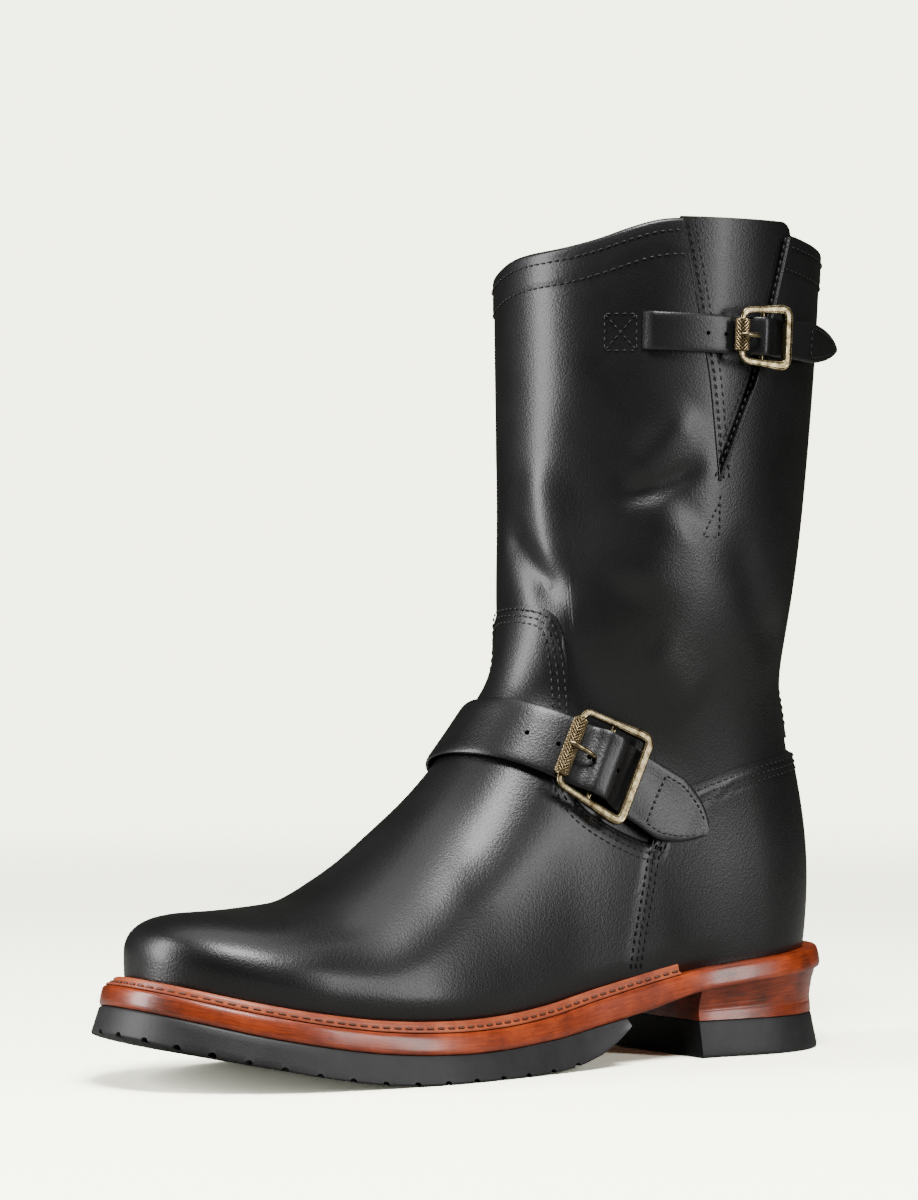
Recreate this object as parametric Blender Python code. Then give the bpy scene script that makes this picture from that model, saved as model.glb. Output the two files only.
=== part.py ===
"""A left engineer boot: pull-on leather boot with a strap at the instep and one at the shaft.

Metres, +Z up. +X points at the toe and +Y to the boot's lateral side. The origin is on the ground,
in the middle of the heel's ground face.
"""

import collections
import math

import bmesh
import bpy
import mathutils
import numpy as np

MM = 0.001

# Driving sizes of the last and the shaft
LENGTH = 0.300
HEEL_BACK = -0.034
BALL_WIDTH = 0.0935
HEEL_WIDTH = 0.0665
SHAFT_WIDTH = 0.103
COLLAR_HEIGHT = 0.3035
ANKLE_HEIGHT = 0.1350
INSTEP_HEIGHT = 0.1290
WALL = 0.0022
LAYER = 0.0016
CLEARANCE = 0.0003
SEAT_GAP = 0.0005

# Driving sizes of the bottom
SEAT_HEIGHT = 0.0380
FORE_HEIGHT = 0.0170
TOE_SPRING = 0.0200
MIDSOLE = 0.0072
LIFT = 0.0134
BREAST = 0.0690
RUBBER_END = 0.1070
INSOLE = 0.0030
FACET_ROOM = 0.0006
WELT_LIP = 0.0030
WELT_LIP_WIDTH = 0.0028
WELT_LEAN = 0.0018
WELT_END = 0.0790
MIDSOLE_FLARE = 0.0018
RUBBER_FLARE = 0.0030
HEEL_WAIST = 0.0022
HEEL_FLARE = 0.0008
LUG_PITCH = 0.0125
LUG_GAP = 0.0030
LUG_DEPTH = 0.0013
LUG_REACH = 0.0110

# Driving sizes of the gore, the stay and the straps
GORE = 0.0016
GORE_LAP = 0.0070
GORE_STAND = 0.0026
STAY = 0.0014
STAY_WIDTH = 0.0290
STRAP = 0.0020
CHAPE = 0.0014
CHAPE_LIFT = 0.0007
SHAFT_STRAP_WIDTH = 0.0140
INSTEP_STRAP_WIDTH = 0.0240
BAR = 0.0013
ROLLER = 0.0027
PRONG = 0.0009
CHAPE_SHARE = 0.80
CENTRE_BAR = 0.8
BAR_STAND = 0.0021
BAR_DROP = 1.5
PRONG_REACH = 0.42
BREADTH_OVER_LIP = 0.8

# Faces of the model
RIBS = 60
FOOT_ROWS = 15
SHAFT_ROWS = 13
SOLE_STEPS = 24
OUTSOLE_STEPS = 34
GORE_ROWS = 11
GORE_COLUMNS = 6
STAY_ROWS = 15
STAY_COLUMNS = 7
STRAP_COLUMNS = 5
TUBE_SIDES = 8
ROLLER_SIDES = 16
CORNER_STEPS = 5

# The rows lie closer together towards the sole, where the toe is rounded
ROW_CROWDING = 1.55
STRAP_STEP = 8

# The rays that find the upper's surface start here: inside the ankle, low over the ground. Their
# elevations in degrees lie closer together towards the ground, and between the two turning
# elevations their azimuths go over from an even spread at the sole to an even spread at the collar
RAY_X = 0.0410
RAY_HEIGHT = 0.0100
RAY_LOW = -6
RAY_HIGH = 85
RAY_ROWS = 420
RAY_CROWDING = 1.5
TURNING_START = 8
TURNING_END = 74
TURN_COUNT = 361
FAR = 0.4000
HALVINGS = 34
NORMAL_STEP = 0.0002

# The hollow where the foot and the leg meet
BLEND = 0.0080

# Height of the sole's upper face: rise is the share of the way from the forepart to the heel seat,
# spring the share of the toe spring. along: share of LENGTH from the back of the heel.
TOP_LINE = (
    # along, rise, spring
    (-0.02, 1.000, 0.00),
    (0.00, 1.000, 0.00),
    (0.10, 0.905, 0.00),
    (0.207, 0.763, 0.00),
    (0.267, 0.649, 0.00),
    (0.333, 0.493, 0.00),
    (0.390, 0.346, 0.00),
    (0.480, 0.114, 0.00),
    (0.550, 0.020, 0.00),
    (0.600, 0.000, 0.00),
    (0.660, 0.000, 0.02),
    (0.720, 0.000, 0.085),
    (0.790, 0.000, 0.235),
    (0.867, 0.000, 0.46),
    (0.950, 0.000, 0.78),
    (1.020, 0.000, 1.08),
)

# Thickness of the midsole, as a share of MIDSOLE, and how far the sole's edge stands out from
# the upper, as a share of EDGE_WIDTH
EDGE_WIDTH = 0.0068
EDGE_LINE = (
    # along, thickness, reach
    (-0.02, 1.04, 0.76),
    (0.00, 1.04, 0.76),
    (0.12, 1.04, 0.72),
    (0.23, 1.05, 0.66),
    (0.33, 1.24, 0.70),
    (0.42, 1.18, 0.84),
    (0.52, 1.03, 0.95),
    (0.65, 1.00, 1.00),
    (0.85, 1.00, 1.03),
    (1.02, 1.00, 1.08),
)

# Ground line of the rubber half sole: the shares of the way up to the midsole at its rear end and
# of the toe spring
TREAD_LINE = (
    # along, taper, spring
    (0.340, 1.06, 0.00),
    (0.357, 0.82, 0.00),
    (0.380, 0.55, 0.00),
    (0.410, 0.30, 0.00),
    (0.450, 0.12, 0.00),
    (0.500, 0.02, 0.00),
    (0.540, 0.00, 0.00),
    (0.660, 0.00, 0.00),
    (0.720, 0.00, 0.045),
    (0.790, 0.00, 0.19),
    (0.867, 0.00, 0.43),
    (0.950, 0.00, 0.74),
    (1.020, 0.00, 1.06),
)

# Sections of the foot. crown: height of the ridge over the sole, as a share of INSTEP_HEIGHT;
# lateral and medial: half widths as shares of BALL_WIDTH; ridge: the ridge's place across;
# round: how square the section is
FOOT = (
    # along, crown, lateral, medial, ridge, round
    (0.20, 1.290, 0.345, 0.340, 0.00, 2.1),
    (0.30, 1.190, 0.362, 0.350, -0.01, 2.1),
    (0.367, 1.085, 0.378, 0.362, -0.01, 2.05),
    (0.423, 0.955, 0.392, 0.382, -0.02, 2.0),
    (0.463, 0.830, 0.412, 0.408, -0.03, 2.0),
    (0.513, 0.690, 0.438, 0.446, -0.04, 2.0),
    (0.553, 0.598, 0.460, 0.480, -0.05, 2.0),
    (0.590, 0.528, 0.478, 0.502, -0.05, 2.0),
    (0.623, 0.464, 0.490, 0.512, -0.05, 2.0),
    (0.670, 0.388, 0.492, 0.512, -0.05, 2.05),
    (0.710, 0.333, 0.484, 0.500, -0.05, 2.1),
    (0.760, 0.296, 0.468, 0.474, -0.04, 2.2),
    (0.833, 0.262, 0.446, 0.440, -0.03, 2.3),
    (0.900, 0.254, 0.430, 0.420, -0.02, 2.35),
    (0.980, 0.250, 0.425, 0.412, -0.02, 2.35),
)
FOOT_START = 0.300
FOOT_END = 0.120
TOE_START = 0.780
TOE_END = 0.9480
TOE_PLAN = 2.15
SIDE_HEIGHT = 0.0120
SIDE_TUCK = 0.0030

# Sections of the heel and the ankle: level is the share of the way from the ground to the ankle
HEEL = (
    # level, back, middle, front, lateral, medial, round
    (0.15, 0.0250, 0.130, 0.36, 0.425, 0.420, 2.1),
    (0.26, 0.0185, 0.133, 0.36, 0.468, 0.455, 2.1),
    (0.37, 0.0130, 0.137, 0.37, 0.492, 0.478, 2.1),
    (0.50, 0.0110, 0.143, 0.375, 0.505, 0.488, 2.1),
    (0.67, 0.0190, 0.160, 0.39, 0.512, 0.495, 2.1),
    (0.83, 0.0350, 0.193, 0.405, 0.540, 0.525, 2.1),
    (1.00, 0.0480, 0.225, 0.420, 0.605, 0.600, 2.1),
)

# Sections of the shaft: level is the share of the way from the ankle to the collar
SHAFT = (
    # level, back, middle, front, lateral, medial, round
    (0.16, 0.0400, 0.231, 0.4240, 0.446, 0.442, 2.1),
    (0.33, 0.0263, 0.223, 0.4210, 0.472, 0.468, 2.1),
    (0.50, 0.0157, 0.218, 0.4205, 0.486, 0.482, 2.1),
    (0.79, 0.0013, 0.212, 0.4220, 0.500, 0.500, 2.1),
    (1.05, -0.0060, 0.207, 0.4225, 0.506, 0.506, 2.1),
)

# Upper edge of the vamp and the counter round the ankle: azimuth in degrees from the toe,
# lateral positive; height as a share of ANKLE_HEIGHT
LAYER_EDGE = (
    # azimuth, height
    (-180, 0.830),
    (-140, 0.805),
    (-110, 0.760),
    (-83, 0.712),
    (-68, 0.670),
    (-63, 0.595),
    (-50, 0.615),
    (-40, 0.655),
    (-33, 0.705),
    (-29, 0.790),
    (-26.5, 1.060),
    (-24, 1.155),
    (-20, 1.200),
    (-12, 1.222),
    (0, 1.228),
    (12, 1.222),
    (20, 1.200),
    (24, 1.155),
    (26.5, 1.060),
    (29, 0.790),
    (33, 0.705),
    (40, 0.655),
    (50, 0.615),
    (63, 0.590),
    (68, 0.655),
    (83, 0.712),
    (110, 0.760),
    (140, 0.805),
    (180, 0.830),
)

# Edges of the stacked heel and of the top lift from below to above: level is the share of their
# height, reach the share of HEEL_WAIST that the edge stands in
HEEL_SECTION = (
    # level, reach
    (0.00, 0.8),
    (0.35, 1.0),
    (0.70, 0.6),
    (1.00, 0.0),
)
LIFT_WAIST = 1 / 3

# Collar line: height as a share of COLLAR_HEIGHT
COLLAR_EDGE = (
    # azimuth, height
    (-180, 0.9660),
    (-150, 0.9590),
    (-120, 0.9500),
    (-90, 0.9400),
    (-60, 0.9360),
    (-25, 0.9400),
    (0, 0.9580),
    (20, 0.9650),
    (40, 0.9770),
    (65, 0.9990),
    (90, 1.0000),
    (115, 0.9940),
    (150, 0.9760),
    (180, 0.9660),
)

# The gore's V seen from the side: along as a share of LENGTH, height as a share of COLLAR_HEIGHT
GORE_SLIT = (
    # height, front edge, back edge
    (0.6940, 0.2400, 0.2400),
    (0.8150, 0.2555, 0.1865),
    (0.9940, 0.2905, 0.1300),
    (1.0800, 0.3070, 0.1000),
)

# A strap lies where a tilted plane cuts the last: its height over the origin and its slopes
# towards the toe and the lateral side. The angle is taken round the plane's centre.
# centre: share of LENGTH; height: share of COLLAR_HEIGHT at the shaft and of ANKLE_HEIGHT at the
# instep; lift: clearance over the last; width: share of the strap's width
Strap = collections.namedtuple("Strap", "centre height slope_x slope_y width rows")
SHAFT_STRAP = Strap(
    HEEL_BACK + 0.21133 * LENGTH,
    0.86425 * COLLAR_HEIGHT,
    0.032,
    0.0,
    SHAFT_STRAP_WIDTH,
    (
        # angle, lift, width
        (48, 0.0005, 1.00),
        (64, 0.0009, 1.00),
        (78, 0.0008, 1.00),
        (84, 0.0006, 1.00),
        (88, 0.0014, 1.00),
        (92, 0.0046, 1.00),
        (95.5, 0.0066, 1.00),
        (100, 0.0048, 1.00),
        (106, 0.0030, 1.00),
        (114, 0.0026, 1.00),
        (128, 0.0028, 1.04),
        (138, 0.0036, 0.84),
        (147, 0.0050, 0.48),
        (153, 0.0062, 0.14),
    ),
)
SHAFT_ROLLER = 85.7
SHAFT_BAR = 105.5
SHAFT_SLOT = 113.7

INSTEP_STRAP = Strap(
    HEEL_BACK + 0.3 * LENGTH,
    0.42667 * ANKLE_HEIGHT,
    0.565,
    0.16,
    INSTEP_STRAP_WIDTH,
    (
        # angle, lift, width
        (-96, 0.0026, 1.00),
        (-80, 0.0026, 1.00),
        (-52, 0.0030, 1.00),
        (-36, 0.0033, 1.00),
        (0, 0.0027, 1.00),
        (24, 0.0032, 1.00),
        (36, 0.0032, 1.00),
        (44, 0.0040, 1.00),
        (50, 0.0073, 1.00),
        (55, 0.0074, 1.00),
        (62, 0.0044, 1.00),
        (70, 0.0031, 1.00),
        (82, 0.0032, 1.00),
        (97, 0.0036, 1.02),
        (110, 0.0042, 0.80),
        (118, 0.0050, 0.46),
        (122, 0.0054, 0.14),
    ),
)
INSTEP_ROLLER = 36.8
INSTEP_BAR = 68.3
INSTEP_SLOT = 88.0

# A buckle frame seen from the front, in shares of the strap's width across
FRAME_NARROW = 0.56
FRAME_WIDE = 0.66
FRAME_CORNER = 0.0035
PRONG_ROOT = 2.0


def natural_spline(knots, values, at):
    """The smooth curve with continuous curvature through the knots."""
    knots = np.asarray(knots, float)
    values = np.asarray(values, float)
    gaps = np.diff(knots)
    slopes = np.diff(values) / gaps
    count = len(knots)
    system = np.eye(count)
    right = np.zeros(count)
    for i in range(1, count - 1):
        system[i, i - 1 : i + 2] = gaps[i - 1], 2 * (gaps[i - 1] + gaps[i]), gaps[i]
        right[i] = 6 * (slopes[i] - slopes[i - 1])
    bends = np.linalg.solve(system, right)
    at = np.clip(at, knots[0], knots[-1])
    i = np.clip(np.searchsorted(knots, at) - 1, 0, count - 2)
    ahead = at - knots[i]
    behind = knots[i + 1] - at
    cubic = (bends[i] * behind**3 + bends[i + 1] * ahead**3) / (6 * gaps[i])
    left = (values[i] / gaps[i] - bends[i] * gaps[i] / 6) * behind
    return cubic + left + (values[i + 1] / gaps[i] - bends[i + 1] * gaps[i] / 6) * ahead


def monotone_spline(knots, values, at):
    """The curve through the knots that is flat wherever two neighbouring values are equal."""
    knots = np.asarray(knots, float)
    values = np.asarray(values, float)
    gaps = np.diff(knots)
    slopes = np.diff(values) / gaps
    tangents = np.zeros(len(knots))
    both = slopes[1:] * slopes[:-1] > 0
    means = 2 * slopes[1:] * slopes[:-1] / np.where(both, slopes[1:] + slopes[:-1], 1)
    tangents[1:-1] = np.where(both, means, 0)
    tangents[0] = slopes[0]
    tangents[-1] = slopes[-1]
    at = np.clip(at, knots[0], knots[-1])
    i = np.clip(np.searchsorted(knots, at) - 1, 0, len(knots) - 2)
    t = (at - knots[i]) / gaps[i]
    start = values[i] * (1 + 2 * t) * (1 - t) ** 2 + gaps[i] * tangents[i] * t * (1 - t) ** 2
    end = values[i + 1] * t**2 * (3 - 2 * t) + gaps[i] * tangents[i + 1] * t**2 * (t - 1)
    return start + end


def column(rows, index):
    return np.array([row[index] for row in rows], float)


def quick_curve(rows, index, spline, scale=1.0, samples=1500):
    """A function that reads one column of a table along its first column, from fine samples."""
    knots = column(rows, 0)
    fine = np.linspace(knots[0], knots[-1], samples)
    values = spline(knots, column(rows, index), fine) * scale
    return lambda at: np.interp(at, fine, values)


def along(x):
    return (x - HEEL_BACK) / LENGTH


def place(share):
    return HEEL_BACK + share * LENGTH


RISE = quick_curve(TOP_LINE, 1, monotone_spline)
SPRING = quick_curve(TOP_LINE, 2, monotone_spline)
THICKNESS = quick_curve(EDGE_LINE, 1, monotone_spline, MIDSOLE)
REACH = quick_curve(EDGE_LINE, 2, natural_spline, EDGE_WIDTH)
TREAD_TAPER = quick_curve(TREAD_LINE, 1, monotone_spline)
TREAD_SPRING = quick_curve(TREAD_LINE, 2, monotone_spline)
LAYER_TOP = quick_curve(LAYER_EDGE, 1, monotone_spline, ANKLE_HEIGHT)
COLLAR_TOP = quick_curve(COLLAR_EDGE, 1, natural_spline, COLLAR_HEIGHT)
FOOT_CURVES = [quick_curve(FOOT, i, natural_spline) for i in range(1, 6)]


def sole_top(x):
    """Height of the midsole's upper face, which the upper stands on."""
    share = along(x)
    rise = (SEAT_HEIGHT - FORE_HEIGHT) * RISE(share)
    return FORE_HEIGHT + rise + TOE_SPRING * SPRING(share)


def sole_under(x):
    return sole_top(x) - THICKNESS(along(x))


def tread(x):
    """Height of the rubber half sole's ground line."""
    share = along(x)
    return sole_under(x) * TREAD_TAPER(share) + TOE_SPRING * TREAD_SPRING(share)


def foot_value(x, y, z):
    """Below zero inside the foot's form, above zero outside it."""
    share = along(x)
    crown, lateral, medial, ridge, rounding = (curve(share) for curve in FOOT_CURVES)
    base = sole_top(x)
    side = base + SIDE_HEIGHT
    top = base + crown * INSTEP_HEIGHT
    up = (z - side) / (top - side)
    offset = y - ridge * BALL_WIDTH * np.clip(up, 0, 1)
    half = np.where(offset > 0, lateral, medial) * BALL_WIDTH
    tuck = np.clip((side - z) / SIDE_HEIGHT, 0, 2)
    half = half - SIDE_TUCK * tuck**2
    toe = np.clip((share - TOE_START) / (TOE_END - TOE_START), 0, 3)
    heel = np.clip((FOOT_START - share) / (FOOT_START - FOOT_END), 0, 3)
    plan = (np.abs(offset) / half) ** TOE_PLAN + toe**TOE_PLAN + heel**TOE_PLAN
    section = plan ** (rounding / TOE_PLAN) + np.clip(up, 0, None) ** rounding
    return (section ** (1 / rounding) - 1) * 0.5 * BALL_WIDTH


def leg_rows():
    """Heel and shaft sections as rows of real sizes: height, back, middle, front, lateral, medial."""
    rows = []
    for level, back, middle, front, lateral, medial, rounding in HEEL:
        sizes = place(back), place(middle), place(front), lateral * HEEL_WIDTH, medial * HEEL_WIDTH
        rows.append((level * ANKLE_HEIGHT, *sizes, rounding))
    for level, back, middle, front, lateral, medial, rounding in SHAFT:
        height = ANKLE_HEIGHT + level * (COLLAR_HEIGHT - ANKLE_HEIGHT)
        sizes = place(back), place(middle), place(front), lateral * SHAFT_WIDTH, medial * SHAFT_WIDTH
        rows.append((height, *sizes, rounding))
    return rows


LEG_CURVES = [quick_curve(leg_rows(), i, natural_spline) for i in range(1, 7)]


def leg_value(x, y, z):
    """Below zero inside the heel, ankle and shaft, above zero outside them."""
    back, middle, front, lateral, medial, rounding = (curve(z) for curve in LEG_CURVES)
    depth = np.where(x > middle, front - middle, middle - back)
    half = np.where(y > 0, lateral, medial)
    section = (np.abs(x - middle) / depth) ** rounding + (np.abs(y) / half) ** rounding
    return (section ** (1 / rounding) - 1) * 0.5 * SHAFT_WIDTH


def last_value(points):
    """The foot and the leg joined with a soft hollow between them."""
    x, y, z = points[..., 0], points[..., 1], points[..., 2]
    foot = foot_value(x, y, z)
    leg = leg_value(x, y, z)
    near = np.clip(BLEND - np.abs(foot - leg), 0, None) / BLEND
    return np.minimum(foot, leg) - near**2 * BLEND / 4


def cast(start, direction):
    """Where the rays from inside the last leave it."""
    low = np.zeros(direction.shape[:-1])
    high = np.full(direction.shape[:-1], FAR)
    for _ in range(HALVINGS):
        middle = (low + high) / 2
        inside = last_value(start + direction * middle[..., None]) < 0
        low = np.where(inside, middle, low)
        high = np.where(inside, high, middle)
    return start + direction * low[..., None]


def outward(points):
    """Unit normals of the last's surface."""
    normal = np.empty_like(points)
    for axis in range(3):
        shift = np.zeros(3)
        shift[axis] = NORMAL_STEP
        normal[..., axis] = last_value(points + shift) - last_value(points - shift)
    return normal / np.linalg.norm(normal, axis=-1, keepdims=True)


def ray_point(azimuth, elevation):
    """Surface point seen from the ray start at these angles, in degrees."""
    turn, lift = np.broadcast_arrays(np.radians(azimuth), np.radians(elevation))
    flat = np.cos(lift)
    direction = np.stack([np.cos(turn) * flat, np.sin(turn) * flat, np.sin(lift)], axis=-1)
    return cast(np.array([RAY_X, 0, RAY_HEIGHT]), direction)


def azimuth_of(points):
    return np.degrees(np.arctan2(points[..., 1], points[..., 0] - RAY_X))


def run_lengths(points):
    steps = np.linalg.norm(np.diff(points, axis=0), axis=-1)
    return np.concatenate([[0], np.cumsum(steps)])


def first_above(level):
    """The fractional index at which a rising list first passes zero for good."""
    below = np.nonzero(level < 0)[0]
    i = below[-1] if len(below) else 0
    i = min(i, len(level) - 2)
    return i + level[i] / (level[i] - level[i + 1])


def even_azimuths(elevations, height_of, count):
    """Azimuths whose points lie evenly round the last on the line that height_of gives."""
    turns = np.linspace(-180, 180, TURN_COUNT)
    rays = ray_point(turns[:, None], elevations[None, :])
    ring = []
    for ray in rays:
        index = first_above(ray[:, 2] - height_of(ray))
        ring.append([np.interp(index, range(len(ray)), ray[:, axis]) for axis in range(3)])
    lengths = run_lengths(np.array(ring))
    from_toe = lengths - np.interp(0, turns, lengths)
    lateral = np.interp(np.linspace(0, 1, count // 2 + 1) * from_toe[-1], from_toe, turns)
    medial = np.interp(np.linspace(0, 1, count // 2 + 1) * from_toe[0], from_toe, turns)
    return np.concatenate([lateral, medial[::-1][1:-1] + 360])


def feather(points):
    return sole_top(points[:, 0]) + SEAT_GAP


def collar(points):
    return COLLAR_TOP(azimuth_of(points))


def layer_edge(points):
    return LAYER_TOP(azimuth_of(points))


def upper_grid(ribs, foot_rows, shaft_rows):
    """Points of the last: a rib for each azimuth, rows from the feather line up to the vamp's and
    counter's edge and from there to the collar."""
    elevations = RAY_LOW + (RAY_HIGH - RAY_LOW) * np.linspace(0, 1, RAY_ROWS) ** RAY_CROWDING
    low = even_azimuths(elevations, feather, ribs)
    high = even_azimuths(elevations, collar, ribs)
    blend = np.clip((elevations - TURNING_START) / (TURNING_END - TURNING_START), 0, 1)
    blend = blend**2 * (3 - 2 * blend)
    turns = low[:, None] + (high - low)[:, None] * blend[None, :]
    rays = ray_point(turns, np.broadcast_to(elevations, turns.shape))
    grid = []
    indices = np.arange(len(elevations))
    for turn, ray in zip(turns, rays):
        start = first_above(ray[:, 2] - feather(ray))
        edge = first_above(ray[:, 2] - layer_edge(ray))
        end = first_above(ray[:, 2] - collar(ray))
        lengths = run_lengths(ray)
        marks = np.interp([start, edge, end], indices, lengths)
        lower = marks[0] + (marks[1] - marks[0]) * np.linspace(0, 1, foot_rows + 1) ** ROW_CROWDING
        upper = np.linspace(marks[1], marks[2], shaft_rows + 1)
        wanted = np.interp(np.concatenate([lower, upper]), lengths, indices)
        grid.append(ray_point(np.interp(wanted, indices, turn), np.interp(wanted, indices, elevations)))
    return np.array(grid)


def material(name, color, roughness, metallic=0.0):
    made = bpy.data.materials.new(name)
    made.use_nodes = True
    shader = made.node_tree.nodes["Principled BSDF"]
    shader.inputs["Base Color"].default_value = (*color, 1)
    shader.inputs["Roughness"].default_value = roughness
    shader.inputs["Metallic"].default_value = metallic
    return made


def add_object(name, mesh_maker, finish):
    mesh = bmesh.new()
    mesh_maker(mesh)
    data = bpy.data.meshes.new(name)
    mesh.to_mesh(data)
    mesh.free()
    made = bpy.data.objects.new(name, data)
    bpy.context.scene.collection.objects.link(made)
    data.materials.append(finish)
    data.shade_smooth()
    data.set_sharp_from_angle(angle=math.radians(35))
    return made


def ring_of(mesh, points):
    return [mesh.verts.new(point) for point in points]


def join_rings(mesh, low, high, closed=True):
    """Quads between two rings of vertices, which face away from the middle when the rings run
    anticlockwise and high is above low."""
    count = len(low)
    for i in range(count if closed else count - 1):
        j = (i + 1) % count
        mesh.faces.new((low[i], low[j], high[j], high[i]))


def make_upper(mesh):
    """The hollow upper: outer wall with the stepped vamp and counter, then the inner wall."""
    last = upper_grid(RIBS, FOOT_ROWS, SHAFT_ROWS)
    normals = outward(last)
    thick = np.zeros(last.shape[1])
    thick[: FOOT_ROWS + 1] = LAYER
    outer = last + normals * thick[None, :, None]
    inner = last - normals * WALL
    inner[:, 0, 2] = sole_top(inner[:, 0, 0]) + SEAT_GAP
    outer[:, 0, 2] = sole_top(outer[:, 0, 0]) + SEAT_GAP
    inner = np.delete(inner, [*range(2, FOOT_ROWS - 1, 2), FOOT_ROWS], axis=1)
    rings = [ring_of(mesh, outer[:, row]) for row in range(outer.shape[1])]
    rings += [ring_of(mesh, inner[:, row]) for row in reversed(range(inner.shape[1]))]
    for low, high in zip(rings, rings[1:] + rings[:1]):
        join_rings(mesh, low, high)


def feather_outline():
    """The upper's outline where it meets the sole, from the toe round the lateral side."""
    last = upper_grid(2 * RIBS, 2, 2)[:, 0]
    normals = outward(last)
    normals[:, 2] = 0
    normals /= np.linalg.norm(normals, axis=1, keepdims=True)
    outline = last + normals * LAYER
    return outline[:, :2], normals[:, :2]


OUTLINE, OUTLINE_NORMALS = feather_outline()


def offset_outline(reach):
    """The feather line moved outward by reach, a length or a list with one for each point."""
    return OUTLINE + OUTLINE_NORMALS * np.reshape(reach, (-1, 1))


def side_runs(outline, front, back, steps):
    """Points along the lateral and the medial side between two places along the boot, at the same
    places on both sides and close together at a rounded tip. None for front or back means the tip."""
    half = len(outline) // 2
    sides = outline[: half + 1], np.concatenate([outline[:1], outline[half:][::-1]])
    first = outline[:, 0].max() if front is None else front
    last = outline[:, 0].min() if back is None else back
    share = np.linspace(0, 1, steps + 1)
    if front is None and back is None:
        share = (1 - np.cos(math.pi * share)) / 2
    elif front is None:
        share = 1 - np.cos(math.pi / 2 * share)
    elif back is None:
        share = np.sin(math.pi / 2 * share)
    stations = first + (last - first) * share
    runs = []
    for side in sides:
        falling = np.minimum.accumulate(side[:, 0])
        runs.append(np.column_stack([stations, np.interp(-stations, -falling, side[:, 1])]))
    return runs


def loop_points(outline, front, back, steps):
    """One closed ring, anticlockwise from above: lateral side from front to back, medial side from
    back to front. A tip that both sides share is taken once."""
    lateral, medial = side_runs(outline, front, back, steps)
    if front is None:
        lateral = lateral[1:]
    if back is None:
        medial = medial[:-1]
    return np.concatenate([lateral, medial[::-1]])


def cap(mesh, ring, front_tip, back_tip, up):
    """Closes a ring with faces that run straight across, from one side to the other."""
    count = len(ring)
    if front_tip:
        ring = ring[-1:] + ring[:-1]
    low, high = (1 if front_tip else 0), count - 1
    faces = []
    if front_tip:
        faces.append((ring[0], ring[1], ring[-1]))
    while high - low > 2:
        faces.append((ring[low], ring[low + 1], ring[high - 1], ring[high]))
        low += 1
        high -= 1
    if high - low == 2:
        faces.append((ring[low], ring[low + 1], ring[high]))
    for face in faces:
        mesh.faces.new(face if up else face[::-1])


def layered_solid(mesh, levels, front, back, steps=SOLE_STEPS):
    """A solid from rings at rising levels. Each level is an outline and a height function."""
    rings = []
    for outline, height in levels:
        flat = loop_points(outline, front, back, steps)
        rings.append(ring_of(mesh, np.column_stack([flat, height(flat[:, 0])])))
    for low, high in zip(rings, rings[1:]):
        join_rings(mesh, low, high)
    cap(mesh, rings[0], front is None, back is None, up=False)
    cap(mesh, rings[-1], front is None, back is None, up=True)


def edge_outline(extra=0.0):
    """The sole's edge: the feather line moved out by the reach for its place along the boot."""
    return offset_outline(REACH(along(OUTLINE[:, 0])) + extra)


def make_midsole(mesh):
    levels = (
        (edge_outline(MIDSOLE_FLARE), sole_under),
        (edge_outline(0), sole_top),
    )
    layered_solid(mesh, levels, None, None, 2 * SOLE_STEPS)


def make_outsole(mesh):
    levels = (
        (edge_outline(MIDSOLE_FLARE + RUBBER_FLARE), tread),
        (edge_outline(MIDSOLE_FLARE), lambda x: sole_under(x) - CLEARANCE),
    )
    layered_solid(mesh, levels, None, place(RUBBER_END / LENGTH), OUTSOLE_STEPS)


def heel_height(share):
    """The level at this share of the way from the top lift up to the midsole."""
    return lambda x: LIFT + share * (sole_under(x) - CLEARANCE - LIFT)


def make_heel_stack(mesh):
    levels = [(edge_outline(-reach * HEEL_WAIST), heel_height(level)) for level, reach in HEEL_SECTION]
    layered_solid(mesh, levels, place(BREAST / LENGTH), None)


def make_heel_lift(mesh):
    levels = (
        (edge_outline(HEEL_FLARE), lambda x: 0 * x),
        (edge_outline((HEEL_FLARE - HEEL_WAIST) * LIFT_WAIST), lambda x: 0 * x + LIFT / 2),
        (edge_outline(-HEEL_WAIST * HEEL_SECTION[0][1]), lambda x: 0 * x + LIFT - CLEARANCE),
    )
    layered_solid(mesh, levels, place(BREAST / LENGTH), None)


def make_insole(mesh):
    inside = offset_outline(-(LAYER + WALL + CLEARANCE + FACET_ROOM))
    levels = (
        (inside, lambda x: sole_top(x) + CLEARANCE),
        (inside, lambda x: sole_top(x) + CLEARANCE + INSOLE),
    )
    layered_solid(mesh, levels, None, None)


def make_welt(mesh):
    """The welt's raised lip, which runs beside the upper from the waist round the toe."""
    steps = 2 * SOLE_STEPS
    rings = []
    inner_foot = 2 * CLEARANCE
    inner_top = inner_foot + WELT_LEAN
    section = (
        (inner_foot, 0),
        (inner_foot + WELT_LIP_WIDTH + WELT_LEAN / 2, 0),
        (inner_top + WELT_LIP_WIDTH * BREADTH_OVER_LIP, 1),
        (inner_top, 1),
    )
    for reach, lift in section:
        outline = offset_outline(reach)
        lateral, medial = side_runs(outline, None, place(WELT_END / LENGTH), steps)
        flat = np.concatenate([medial[::-1], lateral[1:]])
        height = sole_top(flat[:, 0]) + CLEARANCE + lift * WELT_LIP
        rings.append(ring_of(mesh, np.column_stack([flat, height])))
    for low, high in zip(rings, rings[1:] + rings[:1]):
        join_rings(mesh, low, high, closed=False)
    mesh.faces.new([ring[0] for ring in rings])
    mesh.faces.new([ring[-1] for ring in rings][::-1])


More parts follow.
